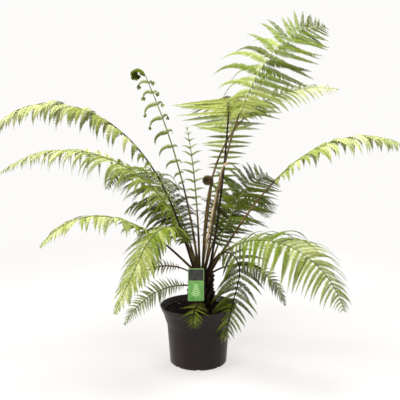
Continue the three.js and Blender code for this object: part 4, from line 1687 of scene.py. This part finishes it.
    def _tone(self, u: float) -> int:
        """Deals a leaflet its tint, painted shade or partly painted light as the frond's tones say.

        Args:
            u: the leaflet's share of the blade.

        Returns:
            The tint's number.
        """
        first, last = self.frond.tints_and_painted_light
        dealt = first + (last - first) * u + self.draw.normal(0, self.tone_spread)
        highest = Tone.DRY.value if last > Tone.LIME.value + 0.5 else Tone.LIME.value
        return int(np.clip(round(dealt), 0, highest))

    def _coil_leaves(self) -> None:
        """Packs folded leaflets along the coiled tip, and a clump of them into its middle."""
        count, end = self.coil_leaves, self.frond.length
        s = np.linspace(end - self.frond.curled, end - 2, count)
        centre, along, left, up = self.path.at(s)
        for side in (1, -1):
            x = unit(side * left * 0.8 - up * 0.55 + along * 0.3)
            z = unit(up - x * np.sum(up * x, axis=1, keepdims=True))
            long = np.interp(s, (s[0], s[-1]), (17.0, 8.0)) * self.draw.uniform(0.7, 1.1, count)
            long *= 0.55 + 0.75 * np.abs(np.sin(np.arange(count) * 0.9))
            roots, axes = centre + side * left * 1.2, (x, np.cross(z, x), z)
            sizes = (long, long * 0.34, long * 0.9)
            self.leaves.leaves(LOBED_LEAF, roots, axes, sizes, Tone.DEEP.value)
        middle = centre[30:].mean(axis=0)
        for lump in range(self.coil_lumps):
            self._bud(self.lump_size, centre[30 + 6 * lump] * 0.4 + middle * 0.6)


@dataclass
class Shoots(Part):
    """The two stems with no leaflets: a hairy fiddlehead and a pale young stalk."""

    sides: int = 10
    hairs: int = 4200
    coiled_share: float = 0.7
    middle_hairs: int = 900
    pale_hairs: int = 700
    seed: int = 9
    wear = [
        ([STALK_SKIN, BRISTLE], "stalk", ["fiddlehead"]),
        ([STRAW_SKIN, BRISTLE], "straw", ["pale_stalk"]),
    ]

    def build(self) -> list[Piece]:
        """Models both shoots.

        Returns:
            The fiddlehead and the pale stalk, each one joined mesh.
        """
        return [self._fiddlehead(FIDDLEHEAD), self._pale_stalk(PALE_STALK)]

    def _fiddlehead(self, stem: Stem) -> Piece:
        """Models a stalk that ends in a hairy coil, filled with a tuft of hairs.

        Args:
            stem: its sizes.

        Returns:
            The fiddlehead.
        """
        draw, faces, path = np.random.default_rng(self.seed), Faces(), Path(stem)
        end, straight = stem.length, stem.length - stem.curled
        known = (0, straight, straight + 40, end)
        s = np.concatenate([np.linspace(0, straight, 24)[:-1], np.linspace(straight, end, 60)])
        centre, _, left, up = path.at(s)
        radii = np.interp(s, known, (4.4, 2.6, 5.0, 4.2))
        faces.tube(centre, left, up, radii, self.sides, 0)
        count = self.hairs
        coiled = draw.uniform(0, 1, count) < self.coiled_share
        high = draw.uniform(straight - 10, end, count)
        s = np.where(coiled, high, draw.uniform(10, straight, count))
        centre, along, out = path.around(s, draw)
        radius = np.interp(s, known, (4.2, 2.4, 4.6, 3.6))
        ways = unit(out + 0.7 * along + draw.normal(0, 0.4, out.shape))
        long = draw.uniform(1.5, 4.0, count) * np.where(coiled, 1.7, 1.0)
        faces.spikes(centre + out * radius[:, None], ways, long, 0.3, 1)
        count = self.middle_hairs
        middle, _, across, _ = path.at(np.linspace(straight + 40, end, 12))
        ways = unit(draw.normal(0, 1, (count, 3)))
        flat = ways - 0.6 * across[0] * (ways @ across[0])[:, None]
        starts = middle.mean(axis=0) + flat * draw.uniform(0, 9, (count, 1))
        faces.spikes(starts, ways, draw.uniform(2.5, 5.0, count), 0.5, 1)
        return faces.piece("fiddlehead_stem")

    def _pale_stalk(self, stem: Stem) -> Piece:
        """Models the pale stalk, with a small bent tip.

        Args:
            stem: its sizes.

        Returns:
            The stalk.
        """
        draw, faces, path = np.random.default_rng(self.seed + 1), Faces(), Path(stem)
        end, count = stem.length, self.pale_hairs
        s = np.linspace(0, end, 50)
        radii = np.interp(s, (0, end - 60, end), (4.6, 3.0, 3.6))
        centre, _, left, up = path.at(s)
        faces.tube(centre, left, up, radii, self.sides, 0)
        s = end * draw.uniform(0.05, 1, count) ** 0.8
        centre, along, out = path.around(s, draw)
        ways = unit(out + 1.1 * along + draw.normal(0, 0.4, out.shape))
        faces.spikes(centre + out * 3.0, ways, draw.uniform(2.0, 5.0, count), 0.4, 1)
        return faces.piece("pale_stem")


# ---- Studio


@dataclass
class Studio:
    """A pale floor in soft light, and the camera, in metres.

    lamps has each lamp's name, place, aim, size and power.
    """

    effects: Effects
    camera_at: Triple = (0.0063, -2.150, 0.850)
    pitch: float = 6.65
    focal_pixels: float = 601.0
    frame_pixels: float = 400.0
    sensor: float = 36.0
    floor_radius: float = 14.0
    fade: tuple[float, float] = (0.7, 3.0)
    backdrop: Triple = (0.975, 0.965, 0.955)
    ambient: float = 0.55
    own_light: float = 0.62
    lamps: tuple[tuple[str, Triple, Triple, float, float], ...] = (
        ("key", (-2.7, -1.7, 2.5), (0.0, 0.0, 0.6), 1.8, 215.0),
        ("top", (0.3, -0.1, 3.3), (0.0, 0.0, 0.5), 1.8, 170.0),
        ("back", (0.9, 2.4, 2.1), (0.0, 0.0, 0.8), 1.4, 80.0),
    )

    def build(self) -> None:
        """Builds the whole studio."""
        bpy.context.scene.view_settings.view_transform = "Standard"
        self._camera()
        self._floor()
        self._world()
        self._lights()

    def _camera(self) -> None:
        """Stands the camera where the photograph was taken from."""
        data = bpy.data.cameras.new("camera")
        data.sensor_width = self.sensor
        data.lens = self.focal_pixels / self.frame_pixels * self.sensor
        data.clip_end = 100.0
        camera = bpy.data.objects.new("camera", data)
        camera.location = self.camera_at
        camera.rotation_euler = (math.radians(90 - self.pitch), 0, 0)
        bpy.context.scene.collection.objects.link(camera)
        bpy.context.scene.camera = camera

    def _floor(self) -> None:
        """Lays the floor, a wide disc that passes into the backdrop's own light far out."""
        deselect_all()
        bpy.ops.mesh.primitive_circle_add(
            vertices=96, radius=self.floor_radius, fill_type="NGON", location=ORIGIN
        )
        floor = settle(bpy.context.object, "floor")
        material = FLOOR_PAPER.material(self.effects)
        sheet = Sheet(material.node_tree)
        sheet.add("TexCoord", "place")
        sheet.add("VectorMath", "reach", operation="LENGTH")
        sheet.add(
            "MapRange", "far", interpolation_type="SMOOTHSTEP", in_From_Min=self.fade[0],
            in_From_Max=self.fade[1], in_To_Min=self.own_light,
        )
        sheet.add("Mix", "dim", data_type="RGBA", in_7=ORIGIN)
        sheet.add("Mix", "glow", data_type="RGBA", in_6=ORIGIN, in_7=self.backdrop)
        sheet.wire(
            "place.Object > reach.0", "reach.Value > far.Value", "far.Result > dim.Factor",
            "far.Result > glow.Factor", "mottle.Colour > dim.6", f"dim.2 > {SHADER}.Base Color",
            f"glow.2 > {SHADER}.Emission Color",
        )
        shader = material.node_tree.nodes[SHADER]
        sheet.tune(shader, in_Emission_Strength=1.0, in_Specular_IOR_Level=0.0)
        floor.data.materials.append(material)

    def _world(self) -> None:
        """Fills the room with even light, and lets the camera see a near white backdrop."""
        world = bpy.data.worlds.new("room")
        bpy.context.scene.world = world
        world.use_nodes = True
        sheet = Sheet(world.node_tree)
        sheet.tune(world.node_tree.nodes["Background"], in_Color=self.backdrop)
        sheet.add("Background", "light", in_Color=(1.0, 0.99, 0.97), in_Strength=self.ambient)
        sheet.add("LightPath", "ray")
        sheet.add("MixShader", "mix")
        sheet.wire(
            "ray.Is Camera Ray > mix.0", "light.0 > mix.1", "Background.0 > mix.2",
            "mix.0 > World Output.Surface",
        )

    def _lights(self) -> None:
        """Hangs a large key light on the left, a lamp overhead and a glow behind."""
        for name, place, aim, size, power in self.lamps:
            data = bpy.data.lights.new(name, "AREA")
            data.shape = "DISK"
            data.size = size
            data.energy = power
            light = bpy.data.objects.new(name, data)
            light.location = place
            way = [a - b for a, b in zip(aim, place)]
            turn = math.atan2(way[1], way[0]) - math.pi / 2
            dip = math.acos(-way[2] / math.dist(aim, place))
            light.rotation_euler = (dip, 0, turn)
            bpy.context.scene.collection.objects.link(light)


def report(pieces: list[Piece]) -> None:
    """Logs each piece with its faces."""
    for piece in pieces:
        LOG.info("%s: %d faces", piece.name, len(piece.data.polygons))


def main() -> None:
    """Builds and dresses the plant from the pot up."""
    logging.basicConfig(level=logging.INFO, format="%(name)s %(message)s")
    effects = Effects()
    Studio(effects).build()
    draw = np.random.default_rng(FROND_SEED)
    parts = [Pot(effects), RootBall(effects), Trunk(effects), Label(effects)]
    parts += [Grower(effects, frond, draw) for frond in FRONDS]
    parts.append(Shoots(effects))
    for part in parts:
        pieces = part.build()
        part.dress(pieces)
        report(pieces)


if __name__ == "__main__":
    main()
